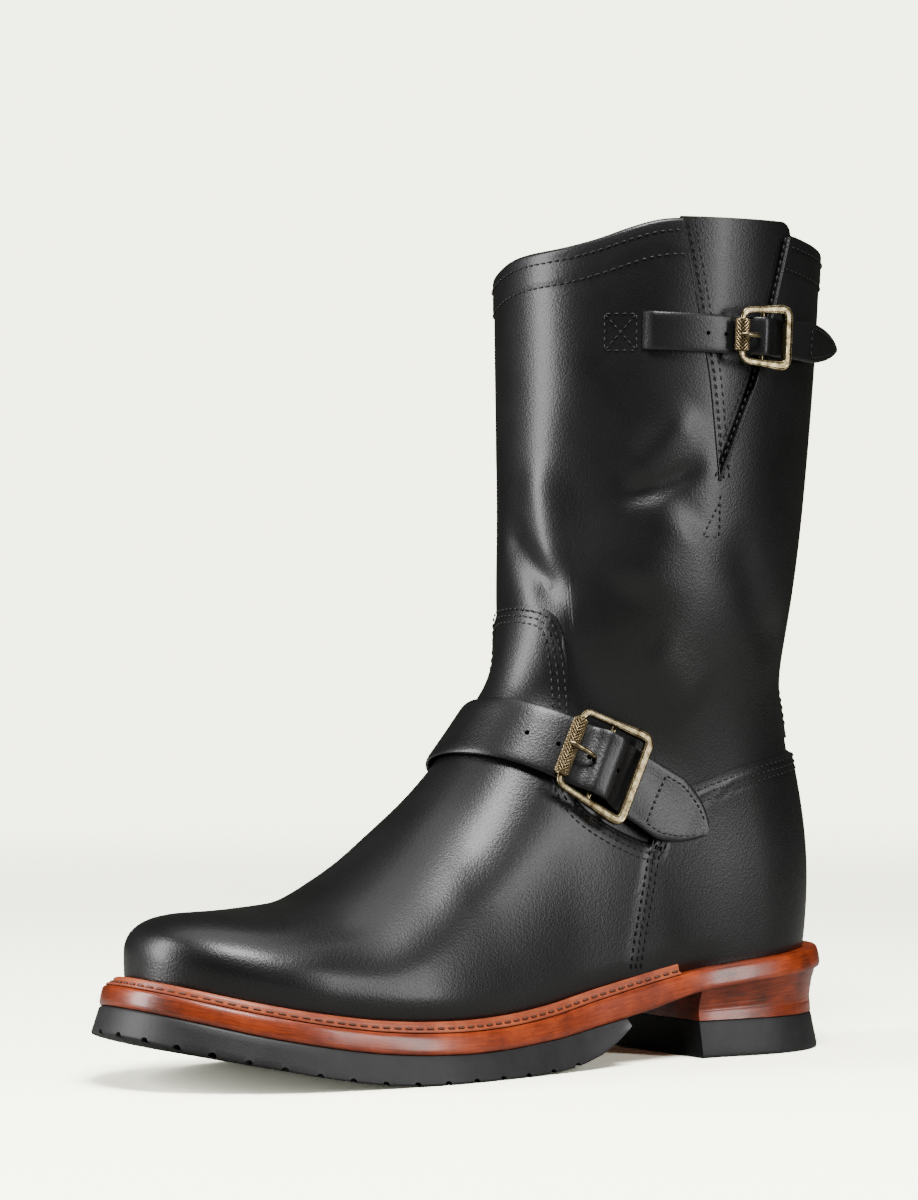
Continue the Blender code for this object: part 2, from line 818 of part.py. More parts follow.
def lug_cutter(mesh):
    """Boxes that notch the half sole's ground edge at an even pitch."""
    outline = edge_outline(MIDSOLE_FLARE + RUBBER_FLARE)
    half = len(outline) // 2
    for side in (outline[: half + 1], np.concatenate([outline[:1], outline[half:][::-1]])):
        lengths = run_lengths(side)
        end = np.interp(-place(RUBBER_END / LENGTH), -side[:, 0], lengths) - 2 * LUG_PITCH
        for mark in np.arange(LUG_PITCH / 2, end, LUG_PITCH):
            spot, ahead = (
                np.array([np.interp(at, lengths, side[:, axis]) for axis in (0, 1)])
                for at in (mark, mark + MM)
            )
            run = (ahead - spot) / np.linalg.norm(ahead - spot)
            turn = math.atan2(run[1], run[0])
            height = float(tread(spot[0]))
            slant = float(tread(spot[0] + run[0] * MM) - tread(spot[0])) / MM
            box = mathutils.Matrix.Translation((*spot, height))
            box @= mathutils.Matrix.Rotation(turn, 4, "Z")
            box @= mathutils.Matrix.Rotation(-math.atan(slant), 4, "Y")
            size = LUG_GAP, 2 * LUG_REACH, 2 * LUG_DEPTH
            box @= mathutils.Matrix.Diagonal((*size, 1))
            bmesh.ops.create_cube(mesh, size=1, matrix=box)


def cut(target, cutter):
    """Cuts one object's shape out of another's with a Boolean modifier."""
    cutter.hide_render = True
    cutter.display_type = "WIRE"
    modifier = target.modifiers.new("cut", "BOOLEAN")
    modifier.operation = "DIFFERENCE"
    modifier.object = cutter
    modifier.solver = "EXACT"


def slit_line(index, height):
    """Place along the boot of the gore slit's front or back edge at a height."""
    heights = column(GORE_SLIT, 0) * COLLAR_HEIGHT
    return place(np.interp(height, heights, column(GORE_SLIT, index)))


def gore_cutter(mesh):
    """The V-shaped prism that opens the shaft's lateral side for the gore."""
    heights = column(GORE_SLIT, 0) * COLLAR_HEIGHT
    edge = [(slit_line(1, height), height) for height in heights]
    edge += [(slit_line(2, height), height) for height in heights[:0:-1]]
    corners = [mesh.verts.new((x, SHAFT_WIDTH / 4, z)) for x, z in edge]
    face = mesh.faces.new(corners)
    grown = bmesh.ops.extrude_face_region(mesh, geom=[face])["geom"]
    moved = [item for item in grown if isinstance(item, bmesh.types.BMVert)]
    bmesh.ops.translate(mesh, verts=moved, vec=(0, SHAFT_WIDTH / 2, 0))
    bmesh.ops.recalc_face_normals(mesh, faces=mesh.faces)


def sheet(mesh, points, normals, low, high):
    """A closed sheet between two heights over a grid of points."""
    rows, columns = points.shape[:2]
    sides = [[ring_of(mesh, row) for row in points + normals * lift] for lift in (low, high)]
    for i in range(rows - 1):
        for j in range(columns - 1):
            for side, step in zip(sides, (1, -1)):
                quad = side[i][j], side[i][j + 1], side[i + 1][j + 1], side[i + 1][j]
                mesh.faces.new(quad[::step])
    under, over = sides
    border = [(0, j) for j in range(columns)] + [(i, columns - 1) for i in range(1, rows)]
    border += [(rows - 1, j) for j in range(columns - 2, -1, -1)] + [(i, 0) for i in range(rows - 2, 0, -1)]
    for (i, j), (k, m) in zip(border, border[1:] + border[:1]):
        mesh.faces.new((under[k][m], under[i][j], over[i][j], over[k][m]))
    bmesh.ops.recalc_face_normals(mesh, faces=mesh.faces)


def make_gore(mesh):
    """The gore lies against the shaft's inner wall and shows through the slit."""
    rows = []
    bottom = GORE_SLIT[0][0] * COLLAR_HEIGHT - GORE_LAP
    for height in np.linspace(bottom, COLLAR_HEIGHT + GORE_STAND, GORE_ROWS):
        x = np.linspace(slit_line(1, height) + GORE_LAP, slit_line(2, height) - GORE_LAP, GORE_COLUMNS)
        rows.append(np.column_stack([x, np.zeros(GORE_COLUMNS), np.full(GORE_COLUMNS, height)]))
    start = np.array(rows)
    points = cast(start, np.broadcast_to((0.0, 1.0, 0.0), start.shape))
    normals = outward(points)
    inner = WALL + 2 * CLEARANCE
    sheet(mesh, points, normals, -(inner + GORE), -inner)


def make_stay(mesh):
    """The strip over the back seam, from the collar down to the counter."""
    rows = []
    across = np.linspace(-STAY_WIDTH / 2, STAY_WIDTH / 2, STAY_COLUMNS)
    low = LAYER_EDGE[0][1] * ANKLE_HEIGHT + 2 * LAYER
    high = COLLAR_EDGE[0][1] * COLLAR_HEIGHT - 2 * LAYER
    for height in np.linspace(low, high, STAY_ROWS):
        rows.append(np.column_stack([np.full(STAY_COLUMNS, RAY_X), across, np.full(STAY_COLUMNS, height)]))
    start = np.array(rows)
    points = cast(start, np.broadcast_to((-1.0, 0.0, 0.0), start.shape))
    sheet(mesh, points, outward(points), 2 * CLEARANCE, 2 * CLEARANCE + STAY)


def strap_point(strap, angle, across=0.0):
    """The last's surface under a strap, at an angle and a distance from the strap's middle line."""
    turn = np.radians(angle)
    up = np.array([-strap.slope_x, -strap.slope_y, 1.0])
    up /= np.linalg.norm(up)
    middle = np.array([strap.centre, 0, strap.height + strap.slope_x * strap.centre])
    run = np.array([math.cos(turn), math.sin(turn), 0.0])
    run[2] = strap.slope_x * run[0] + strap.slope_y * run[1]
    return cast(middle + up * across, run / np.linalg.norm(run))


def strap_frame(strap, angle):
    """Surface point, run along the strap, direction across it and outward normal at an angle."""
    spot = strap_point(strap, angle)
    ahead = strap_point(strap, angle + 1)
    run = (ahead - spot) / np.linalg.norm(ahead - spot)
    normal = outward(spot)
    normal -= run * (normal @ run)
    normal /= np.linalg.norm(normal)
    return spot, run, np.cross(normal, run), normal


def strap_solid(mesh, strap, rows, thickness):
    """A strap of even thickness that follows the last at the lifts its rows give."""
    marks = column(rows, 0)
    angles = [marks[:1]]
    for low, high in zip(marks, marks[1:]):
        angles.append(np.linspace(low, high, math.ceil((high - low) / STRAP_STEP) + 1)[1:])
    angles = np.concatenate(angles)
    points = []
    normals = []
    for angle in angles:
        lift = float(monotone_spline(marks, column(rows, 1), angle))
        half = float(monotone_spline(marks, column(rows, 2), angle)) * strap.width / 2
        normal = strap_frame(strap, angle)[3]
        line = [strap_point(strap, angle, side * half) for side in np.linspace(-1, 1, STRAP_COLUMNS)]
        points.append([point + normal * lift for point in line])
        normals.append([normal] * len(line))
    sheet(mesh, np.array(points), np.array(normals), 0, thickness)


def make_chape(mesh, strap, bar, slot):
    """The short loop that holds the buckle, from its slot in the shaft to the centre bar."""
    rows = ((bar, CHAPE_LIFT, CHAPE_SHARE), (slot, CHAPE_LIFT, CHAPE_SHARE))
    strap_solid(mesh, strap, rows, CHAPE)


def tube(mesh, path, radius, up, closed=False):
    """A round bar along a path of points, which never runs along up."""
    path = np.array(path)
    count = len(path)
    rings = []
    for i in range(count):
        before = path[i - 1] if closed or i else path[i]
        after = path[(i + 1) % count] if closed or i < count - 1 else path[i]
        run = (after - before) / np.linalg.norm(after - before)
        side = np.cross(run, up)
        side /= np.linalg.norm(side)
        lift = np.cross(side, run)
        turns = [2 * math.pi * k / TUBE_SIDES for k in range(TUBE_SIDES)]
        circle = [path[i] + radius * (side * math.cos(t) + lift * math.sin(t)) for t in turns]
        rings.append(ring_of(mesh, circle))
    for i in range(count if closed else count - 1):
        join_rings(mesh, rings[i], rings[(i + 1) % count])
    if not closed:
        mesh.faces.new(rings[0])
        mesh.faces.new(rings[-1])
    bmesh.ops.recalc_face_normals(mesh, faces=mesh.faces)


def lift_at(strap, angle):
    return float(monotone_spline(column(strap.rows, 0), column(strap.rows, 1), angle))


def buckle_place(strap, roller, bar):
    """Middle of the buckle, its directions along, across and out, and half its length."""
    start, _, _, out = strap_frame(strap, roller)
    start = start + out * (lift_at(strap, roller) + STRAP + CLEARANCE + ROLLER)
    end, _, _, out = strap_frame(strap, bar)
    end = end + out * (lift_at(strap, bar) + STRAP + BAR_STAND + BAR)
    run = (end - start) / np.linalg.norm(end - start)
    across = strap_frame(strap, (roller + bar) / 2)[2]
    across -= run * (across @ run)
    across /= np.linalg.norm(across)
    return (start + end) / 2, run, across, np.cross(run, across), np.linalg.norm(end - start) / 2


def frame_path(strap, spot, run, across, half):
    """The buckle frame's middle line: narrower at the roller, with round corners."""
    narrow = FRAME_NARROW * strap.width + BAR
    wide = FRAME_WIDE * strap.width + BAR
    corners = ((half, -wide), (half, wide), (-half, narrow), (-half, -narrow))
    path = []
    for i, corner in enumerate(corners):
        corner = np.array(corner)
        before, after = np.array(corners[i - 1]), np.array(corners[(i + 1) % 4])
        to_before = (before - corner) / np.linalg.norm(before - corner)
        to_after = (after - corner) / np.linalg.norm(after - corner)
        for t in np.linspace(0, 1, CORNER_STEPS):
            bend = corner + FRAME_CORNER * (to_before * (1 - t) ** 2 + to_after * t**2)
            path.append(spot + run * bend[0] + across * bend[1])
    return path


def add_buckle(name, strap, roller, bar, finish):
    """A roller buckle: frame with its centre bar, roller and prong."""
    spot, run, across, out, half = buckle_place(strap, roller, bar)
    path = frame_path(strap, spot, run, across, half)
    frame = add_object(f"{name}_buckle_frame", lambda mesh: tube(mesh, path, BAR, out, closed=True), finish)
    middle = spot - out * (BAR_DROP * BAR)
    reach = across * (FRAME_NARROW + FRAME_WIDE) / 2 * strap.width
    reach += across * BAR
    centre = [middle - reach, middle + reach]
    bar_object = add_object(
        f"{name}_centre_bar", lambda mesh: tube(mesh, centre, BAR * CENTRE_BAR, out), finish
    )
    bar_object.hide_render = True
    bar_object.display_type = "WIRE"
    union = frame.modifiers.new("centre_bar", "BOOLEAN")
    union.operation = "UNION"
    union.object = bar_object
    axis = spot - run * half
    length = FRAME_NARROW * strap.width - FRAME_CORNER / 2

    def make_roller(mesh):
        ends = [axis - across * length, axis + across * length]
        rings = []
        for radius, end in ((ROLLER, 0), (ROLLER, 1), (BAR + CLEARANCE, 1), (BAR + CLEARANCE, 0)):
            turns = [2 * math.pi * k / ROLLER_SIDES for k in range(ROLLER_SIDES)]
            circle = [ends[end] + radius * (run * math.cos(t) + out * math.sin(t)) for t in turns]
            rings.append(ring_of(mesh, circle))
        for low, high in zip(rings, rings[1:] + rings[:1]):
            join_rings(mesh, low, high)
        bmesh.ops.recalc_face_normals(mesh, faces=mesh.faces)

    add_object(f"{name}_buckle_roller", make_roller, finish.copy())
    rest = axis + out * (ROLLER + CLEARANCE + PRONG)
    tip = rest - run * ROLLER
    root = spot - run * half * PRONG_REACH + out * (PRONG_ROOT * BAR)
    add_object(
        f"{name}_buckle_prong", lambda mesh: tube(mesh, [root, rest, tip], PRONG, across), finish.copy()
    )


def clear_scene():
    for item in list(bpy.data.objects):
        bpy.data.objects.remove(item)


def main():
    clear_scene()
    leather = material("black_leather", (0.012, 0.012, 0.013), 0.3)
    tan = material("tan_sole_leather", (0.36, 0.11, 0.035), 0.35)
    rubber = material("black_rubber", (0.02, 0.02, 0.02), 0.7)
    brass = material("antique_brass", (0.30, 0.24, 0.15), 0.35, 1.0)
    lining = material("insole_leather", (0.35, 0.22, 0.12), 0.7)
    upper = add_object("upper", make_upper, leather)
    cut(upper, add_object("gore_slit", gore_cutter, leather))
    add_object("gore", make_gore, leather.copy())
    add_object("back_stay", make_stay, leather.copy())
    add_object("insole", make_insole, lining)
    add_object("welt", make_welt, tan.copy())
    add_object("midsole", make_midsole, tan)
    outsole = add_object("outsole", make_outsole, rubber)
    cut(outsole, add_object("lug_gaps", lug_cutter, rubber))
    add_object("heel_stack", make_heel_stack, tan.copy())
    add_object("heel_top_lift", make_heel_lift, rubber.copy())
    straps = (
        ("shaft", SHAFT_STRAP, SHAFT_ROLLER, SHAFT_BAR, SHAFT_SLOT),
        ("instep", INSTEP_STRAP, INSTEP_ROLLER, INSTEP_BAR, INSTEP_SLOT),
    )
    for name, strap, roller, bar, slot in straps:
        add_object(f"{name}_strap", lambda mesh: strap_solid(mesh, strap, strap.rows, STRAP), leather.copy())
        middle = (roller + bar) / 2
        add_object(f"{name}_chape", lambda mesh: make_chape(mesh, strap, middle, slot), leather.copy())
        add_buckle(name, strap, roller, bar, brass.copy())


main()
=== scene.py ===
"""Looks of the left engineer boot: smooth black cowhide over the same last as the part, with its
creases, edges, stitch rows and buckled straps, and the tan welt, edge and stacked heel over black
rubber.

Everything is in metres, in the part's frame: the origin on the ground under the heel, +X to the toe,
+Y to the lateral side, +Z up.
"""

import collections
import math

import bmesh
import bpy
import mathutils
import numpy as np
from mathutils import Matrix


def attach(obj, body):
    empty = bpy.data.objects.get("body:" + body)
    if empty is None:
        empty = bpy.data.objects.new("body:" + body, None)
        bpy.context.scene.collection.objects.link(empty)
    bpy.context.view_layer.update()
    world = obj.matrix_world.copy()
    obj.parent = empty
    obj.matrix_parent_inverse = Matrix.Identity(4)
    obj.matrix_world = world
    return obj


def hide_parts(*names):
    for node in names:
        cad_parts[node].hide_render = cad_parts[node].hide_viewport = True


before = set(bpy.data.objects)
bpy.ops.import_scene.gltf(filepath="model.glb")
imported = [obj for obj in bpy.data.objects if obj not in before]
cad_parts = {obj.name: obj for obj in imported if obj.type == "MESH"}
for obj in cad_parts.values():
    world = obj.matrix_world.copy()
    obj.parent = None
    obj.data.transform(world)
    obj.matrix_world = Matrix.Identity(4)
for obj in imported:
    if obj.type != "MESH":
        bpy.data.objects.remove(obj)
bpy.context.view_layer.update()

MM = 0.001

# Driving sizes of the last and the shaft
LENGTH = 0.300
HEEL_BACK = -0.034
BALL_WIDTH = 0.0935
HEEL_WIDTH = 0.0665
SHAFT_WIDTH = 0.103
COLLAR_HEIGHT = 0.3035
ANKLE_HEIGHT = 0.1350
INSTEP_HEIGHT = 0.1290
WALL = 0.0022
LAYER = 0.0016
CLEARANCE = 0.0003
SEAT_GAP = 0.0005

# Driving sizes of the bottom
SEAT_HEIGHT = 0.0380
FORE_HEIGHT = 0.0170
TOE_SPRING = 0.0200
MIDSOLE = 0.0072
LIFT = 0.0134
BREAST = 0.0690
RUBBER_END = 0.1070
WELT_END = 0.0790
MIDSOLE_FLARE = 0.0018
RUBBER_FLARE = 0.0030
HEEL_WAIST = 0.0022
HEEL_FLARE = 0.0008
LUG_PITCH = 0.0125
LUG_GAP = 0.0030
LUG_DEPTH = 0.0013
LUG_REACH = 0.0110

# Driving sizes of the gore, the stay and the straps
GORE = 0.0016
GORE_LAP = 0.0070
GORE_STAND = 0.0026
STAY = 0.0014
STAY_WIDTH = 0.0290
STRAP = 0.0020
CHAPE = 0.0014
CHAPE_LIFT = 0.0007
SHAFT_STRAP_WIDTH = 0.0140
INSTEP_STRAP_WIDTH = 0.0240
BAR = 0.0013
ROLLER = 0.0027
PRONG = 0.0009
# Width of the chape as a share of the strap's; radius and drop of the frame's centre bar as shares of BAR
CHAPE_SHARE = 0.8
CENTRE_BAR = 0.8
BAR_DROP = 1.5
BAR_STAND = 0.0021

# Ribs of the upper and of the outline where it meets the sole
RIBS = 360

# The rows lie closer together towards the sole, where the toe is rounded
ROW_CROWDING = 1.55

# The rays that find the upper's surface start here: inside the ankle, low over the ground. Their
# elevations in degrees lie closer together towards the ground, and between the two turning
# elevations their azimuths go over from an even spread at the sole to an even spread at the collar
RAY_X = 0.0410
RAY_HEIGHT = 0.0100
RAY_LOW = -6
RAY_HIGH = 85
RAY_ROWS = 420
RAY_CROWDING = 1.5
TURNING_START = 8
TURNING_END = 74
TURN_COUNT = 361
FAR = 0.4000
HALVINGS = 25
NORMAL_STEP = 0.0002

# The hollow where the foot and the leg meet
BLEND = 0.0080

# Height of the sole's upper face: rise is the share of the way from the forepart to the heel seat,
# spring the share of the toe spring. along: share of LENGTH from the back of the heel.
TOP_LINE = (
    # along, rise, spring
    (-0.02, 1.000, 0.00),
    (0.00, 1.000, 0.00),
    (0.10, 0.905, 0.00),
    (0.207, 0.763, 0.00),
    (0.267, 0.649, 0.00),
    (0.333, 0.493, 0.00),
    (0.390, 0.346, 0.00),
    (0.480, 0.114, 0.00),
    (0.550, 0.020, 0.00),
    (0.600, 0.000, 0.00),
    (0.660, 0.000, 0.02),
    (0.720, 0.000, 0.085),
    (0.790, 0.000, 0.235),
    (0.867, 0.000, 0.46),
    (0.950, 0.000, 0.78),
    (1.020, 0.000, 1.08),
)

# Thickness of the midsole, as a share of MIDSOLE, and how far the sole's edge stands out from
# the upper, as a share of EDGE_WIDTH
EDGE_WIDTH = 0.0068
EDGE_LINE = (
    # along, thickness, reach
    (-0.02, 1.04, 0.76),
    (0.00, 1.04, 0.76),
    (0.12, 1.04, 0.72),
    (0.23, 1.05, 0.66),
    (0.33, 1.24, 0.70),
    (0.42, 1.18, 0.84),
    (0.52, 1.03, 0.95),
    (0.65, 1.00, 1.00),
    (0.85, 1.00, 1.03),
    (1.02, 1.00, 1.08),
)

# Ground line of the rubber half sole: the shares of the way up to the midsole at its rear end and
# of the toe spring
TREAD_LINE = (
    # along, taper, spring
    (0.340, 1.06, 0.00),
    (0.357, 0.82, 0.00),
    (0.380, 0.55, 0.00),
    (0.410, 0.30, 0.00),
    (0.450, 0.12, 0.00),
    (0.500, 0.02, 0.00),
    (0.540, 0.00, 0.00),
    (0.660, 0.00, 0.00),
    (0.720, 0.00, 0.045),
    (0.790, 0.00, 0.19),
    (0.867, 0.00, 0.43),
    (0.950, 0.00, 0.74),
    (1.020, 0.00, 1.06),
)

# Sections of the foot. crown: height of the ridge over the sole, as a share of INSTEP_HEIGHT;
# lateral and medial: half widths as shares of BALL_WIDTH; ridge: the ridge's place across;
# round: how square the section is
FOOT = (
    # along, crown, lateral, medial, ridge, round
    (0.20, 1.290, 0.345, 0.340, 0.00, 2.1),
    (0.30, 1.190, 0.362, 0.350, -0.01, 2.1),
    (0.367, 1.085, 0.378, 0.362, -0.01, 2.05),
    (0.423, 0.955, 0.392, 0.382, -0.02, 2.0),
    (0.463, 0.830, 0.412, 0.408, -0.03, 2.0),
    (0.513, 0.690, 0.438, 0.446, -0.04, 2.0),
    (0.553, 0.598, 0.460, 0.480, -0.05, 2.0),
    (0.590, 0.528, 0.478, 0.502, -0.05, 2.0),
    (0.623, 0.464, 0.490, 0.512, -0.05, 2.0),
    (0.670, 0.388, 0.492, 0.512, -0.05, 2.05),
    (0.710, 0.333, 0.484, 0.500, -0.05, 2.1),
    (0.760, 0.296, 0.468, 0.474, -0.04, 2.2),
    (0.833, 0.262, 0.446, 0.440, -0.03, 2.3),
    (0.900, 0.254, 0.430, 0.420, -0.02, 2.35),
    (0.980, 0.250, 0.425, 0.412, -0.02, 2.35),
)
FOOT_START = 0.300
FOOT_END = 0.120
TOE_START = 0.780
TOE_END = 0.9480
TOE_PLAN = 2.15
SIDE_HEIGHT = 0.0120
SIDE_TUCK = 0.0030

# Sections of the heel and the ankle: level is the share of the way from the ground to the ankle
HEEL = (
    # level, back, middle, front, lateral, medial, round
    (0.15, 0.0250, 0.130, 0.36, 0.425, 0.420, 2.1),
    (0.26, 0.0185, 0.133, 0.36, 0.468, 0.455, 2.1),
    (0.37, 0.0130, 0.137, 0.37, 0.492, 0.478, 2.1),
    (0.50, 0.0110, 0.143, 0.375, 0.505, 0.488, 2.1),
    (0.67, 0.0190, 0.160, 0.39, 0.512, 0.495, 2.1),
    (0.83, 0.0350, 0.193, 0.405, 0.540, 0.525, 2.1),
    (1.00, 0.0480, 0.225, 0.420, 0.605, 0.600, 2.1),
)

# Sections of the shaft: level is the share of the way from the ankle to the collar
SHAFT = (
    # level, back, middle, front, lateral, medial, round
    (0.16, 0.0400, 0.231, 0.4240, 0.446, 0.442, 2.1),
    (0.33, 0.0263, 0.223, 0.4210, 0.472, 0.468, 2.1),
    (0.50, 0.0157, 0.218, 0.4205, 0.486, 0.482, 2.1),
    (0.79, 0.0013, 0.212, 0.4220, 0.500, 0.500, 2.1),
    (1.05, -0.0060, 0.207, 0.4225, 0.506, 0.506, 2.1),
)

# Upper edge of the vamp and the counter round the ankle: azimuth in degrees from the toe,
# lateral positive; height as a share of ANKLE_HEIGHT
LAYER_EDGE = (
    # azimuth, height
    (-180, 0.830),
    (-140, 0.805),
    (-110, 0.760),
    (-83, 0.712),
    (-68, 0.670),
    (-63, 0.595),
    (-50, 0.615),
    (-40, 0.655),
    (-33, 0.705),
    (-29, 0.790),
    (-26.5, 1.060),
    (-24, 1.155),
    (-20, 1.200),
    (-12, 1.222),
    (0, 1.228),
    (12, 1.222),
    (20, 1.200),
    (24, 1.155),
    (26.5, 1.060),
    (29, 0.790),
    (33, 0.705),
    (40, 0.655),
    (50, 0.615),
    (63, 0.590),
    (68, 0.655),
    (83, 0.712),
    (110, 0.760),
    (140, 0.805),
    (180, 0.830),
)

# Edges of the stacked heel and of the top lift from below to above: level is the share of their
# height, reach the share of HEEL_WAIST that the edge stands in
HEEL_SECTION = (
    # level, reach
    (0.00, 0.8),
    (0.35, 1.0),
    (0.70, 0.6),
    (1.00, 0.0),
)
LIFT_WAIST = 1 / 3

# Collar line: height as a share of COLLAR_HEIGHT
COLLAR_EDGE = (
    # azimuth, height
    (-180, 0.9660),
    (-150, 0.9590),
    (-120, 0.9500),
    (-90, 0.9400),
    (-60, 0.9360),
    (-25, 0.9400),
    (0, 0.9580),
    (20, 0.9650),
    (40, 0.9770),
    (65, 0.9990),
    (90, 1.0000),
    (115, 0.9940),
    (150, 0.9760),
    (180, 0.9660),
)

# The gore's V seen from the side: along as a share of LENGTH, height as a share of COLLAR_HEIGHT
GORE_SLIT = (
    # height, front edge, back edge
    (0.6940, 0.2400, 0.2400),
    (0.8150, 0.2555, 0.1865),
    (0.9940, 0.2905, 0.1300),
    (1.0800, 0.3070, 0.1000),
)

# A strap lies where a tilted plane cuts the last: its height over the origin and its slopes
# towards the toe and the lateral side. The angle is taken round the plane's centre.
# centre: share of LENGTH; height: share of COLLAR_HEIGHT at the shaft and of ANKLE_HEIGHT at the
# instep; lift: clearance over the last; width: share of the strap's width
Strap = collections.namedtuple("Strap", "centre height slope_x slope_y width rows")
SHAFT_STRAP = Strap(
    HEEL_BACK + 0.21133 * LENGTH,
    0.86425 * COLLAR_HEIGHT,
    0.032,
    0.0,
    SHAFT_STRAP_WIDTH,
    (
        # angle, lift, width
        (48, 0.0005, 1.00),
        (64, 0.0009, 1.00),
        (78, 0.0008, 1.00),
        (84, 0.0006, 1.00),
        (88, 0.0014, 1.00),
        (92, 0.0046, 1.00),
        (95.5, 0.0066, 1.00),
        (100, 0.0048, 1.00),
        (106, 0.0030, 1.00),
        (114, 0.0026, 1.00),
        (128, 0.0028, 1.04),
        (138, 0.0036, 0.84),
        (147, 0.0050, 0.48),
        (153, 0.0062, 0.14),
    ),
)
SHAFT_ROLLER = 85.7
SHAFT_BAR = 105.5
SHAFT_SLOT = 113.7

INSTEP_STRAP = Strap(
    HEEL_BACK + 0.3 * LENGTH,
    0.42667 * ANKLE_HEIGHT,
    0.565,
    0.16,
    INSTEP_STRAP_WIDTH,
    (
        # angle, lift, width
        (-96, 0.0026, 1.00),
        (-80, 0.0026, 1.00),
        (-52, 0.0030, 1.00),
        (-36, 0.0033, 1.00),
        (0, 0.0027, 1.00),
        (24, 0.0032, 1.00),
        (36, 0.0032, 1.00),
        (44, 0.0040, 1.00),
        (50, 0.0073, 1.00),
        (55, 0.0074, 1.00),
        (62, 0.0044, 1.00),
        (70, 0.0031, 1.00),
        (82, 0.0032, 1.00),
        (97, 0.0036, 1.02),
        (110, 0.0042, 0.80),
        (118, 0.0050, 0.46),
        (122, 0.0054, 0.14),
    ),
)
INSTEP_ROLLER = 36.8
INSTEP_BAR = 68.3
INSTEP_SLOT = 88.0

# A buckle frame seen from the front, in shares of the strap's width across
FRAME_NARROW = 0.56
FRAME_WIDE = 0.66
FRAME_CORNER = 0.0035


def natural_spline(knots, values, at):
    """The smooth curve with continuous curvature through the knots."""
    knots = np.asarray(knots, float)
    values = np.asarray(values, float)
    gaps = np.diff(knots)
    slopes = np.diff(values) / gaps
    count = len(knots)
    system = np.eye(count)
    right = np.zeros(count)
    for i in range(1, count - 1):
        system[i, i - 1 : i + 2] = gaps[i - 1], 2 * (gaps[i - 1] + gaps[i]), gaps[i]
        right[i] = 6 * (slopes[i] - slopes[i - 1])
    bends = np.linalg.solve(system, right)
    at = np.clip(at, knots[0], knots[-1])
    i = np.clip(np.searchsorted(knots, at) - 1, 0, count - 2)
    ahead = at - knots[i]
    behind = knots[i + 1] - at
    cubic = (bends[i] * behind**3 + bends[i + 1] * ahead**3) / (6 * gaps[i])
    left = (values[i] / gaps[i] - bends[i] * gaps[i] / 6) * behind
    return cubic + left + (values[i + 1] / gaps[i] - bends[i + 1] * gaps[i] / 6) * ahead


def monotone_spline(knots, values, at):
    """The curve through the knots that is flat wherever two neighbouring values are equal."""
    knots = np.asarray(knots, float)
    values = np.asarray(values, float)
    gaps = np.diff(knots)
    slopes = np.diff(values) / gaps
    tangents = np.zeros(len(knots))
    both = slopes[1:] * slopes[:-1] > 0
    means = 2 * slopes[1:] * slopes[:-1] / np.where(both, slopes[1:] + slopes[:-1], 1)
    tangents[1:-1] = np.where(both, means, 0)
    tangents[0] = slopes[0]
    tangents[-1] = slopes[-1]
    at = np.clip(at, knots[0], knots[-1])
    i = np.clip(np.searchsorted(knots, at) - 1, 0, len(knots) - 2)
    t = (at - knots[i]) / gaps[i]
    start = values[i] * (1 + 2 * t) * (1 - t) ** 2 + gaps[i] * tangents[i] * t * (1 - t) ** 2
    end = values[i + 1] * t**2 * (3 - 2 * t) + gaps[i] * tangents[i + 1] * t**2 * (t - 1)
    return start + end


def column(rows, index):
    return np.array([row[index] for row in rows], float)


def quick_curve(rows, index, spline, scale=1.0, samples=1500):
    """A function that reads one column of a table along its first column, from fine samples."""
    knots = column(rows, 0)
    fine = np.linspace(knots[0], knots[-1], samples)
    values = spline(knots, column(rows, index), fine) * scale
    return lambda at: np.interp(at, fine, values)


def along(x):
    return (x - HEEL_BACK) / LENGTH


def place(share):
    """The place along the boot of a share of LENGTH from the back of the heel."""
    return HEEL_BACK + share * LENGTH


def unit(vectors):
    """Vectors of the same directions, one long."""
    return vectors / np.linalg.norm(vectors, axis=-1, keepdims=True)


RISE = quick_curve(TOP_LINE, 1, monotone_spline)
SPRING = quick_curve(TOP_LINE, 2, monotone_spline)
THICKNESS = quick_curve(EDGE_LINE, 1, monotone_spline, MIDSOLE)
REACH = quick_curve(EDGE_LINE, 2, natural_spline, EDGE_WIDTH)
TREAD_TAPER = quick_curve(TREAD_LINE, 1, monotone_spline)
TREAD_SPRING = quick_curve(TREAD_LINE, 2, monotone_spline)
LAYER_TOP = quick_curve(LAYER_EDGE, 1, monotone_spline, ANKLE_HEIGHT)
COLLAR_TOP = quick_curve(COLLAR_EDGE, 1, natural_spline, COLLAR_HEIGHT)
FOOT_CURVES = [quick_curve(FOOT, i, natural_spline) for i in range(1, 6)]


def sole_top(x):
    """Height of the midsole's upper face, which the upper stands on."""
    share = along(x)
    rise = (SEAT_HEIGHT - FORE_HEIGHT) * RISE(share)
    return FORE_HEIGHT + rise + TOE_SPRING * SPRING(share)


def sole_under(x):
    return sole_top(x) - THICKNESS(along(x))


def tread(x):
    """Height of the rubber half sole's ground line."""
    share = along(x)
    return sole_under(x) * TREAD_TAPER(share) + TOE_SPRING * TREAD_SPRING(share)


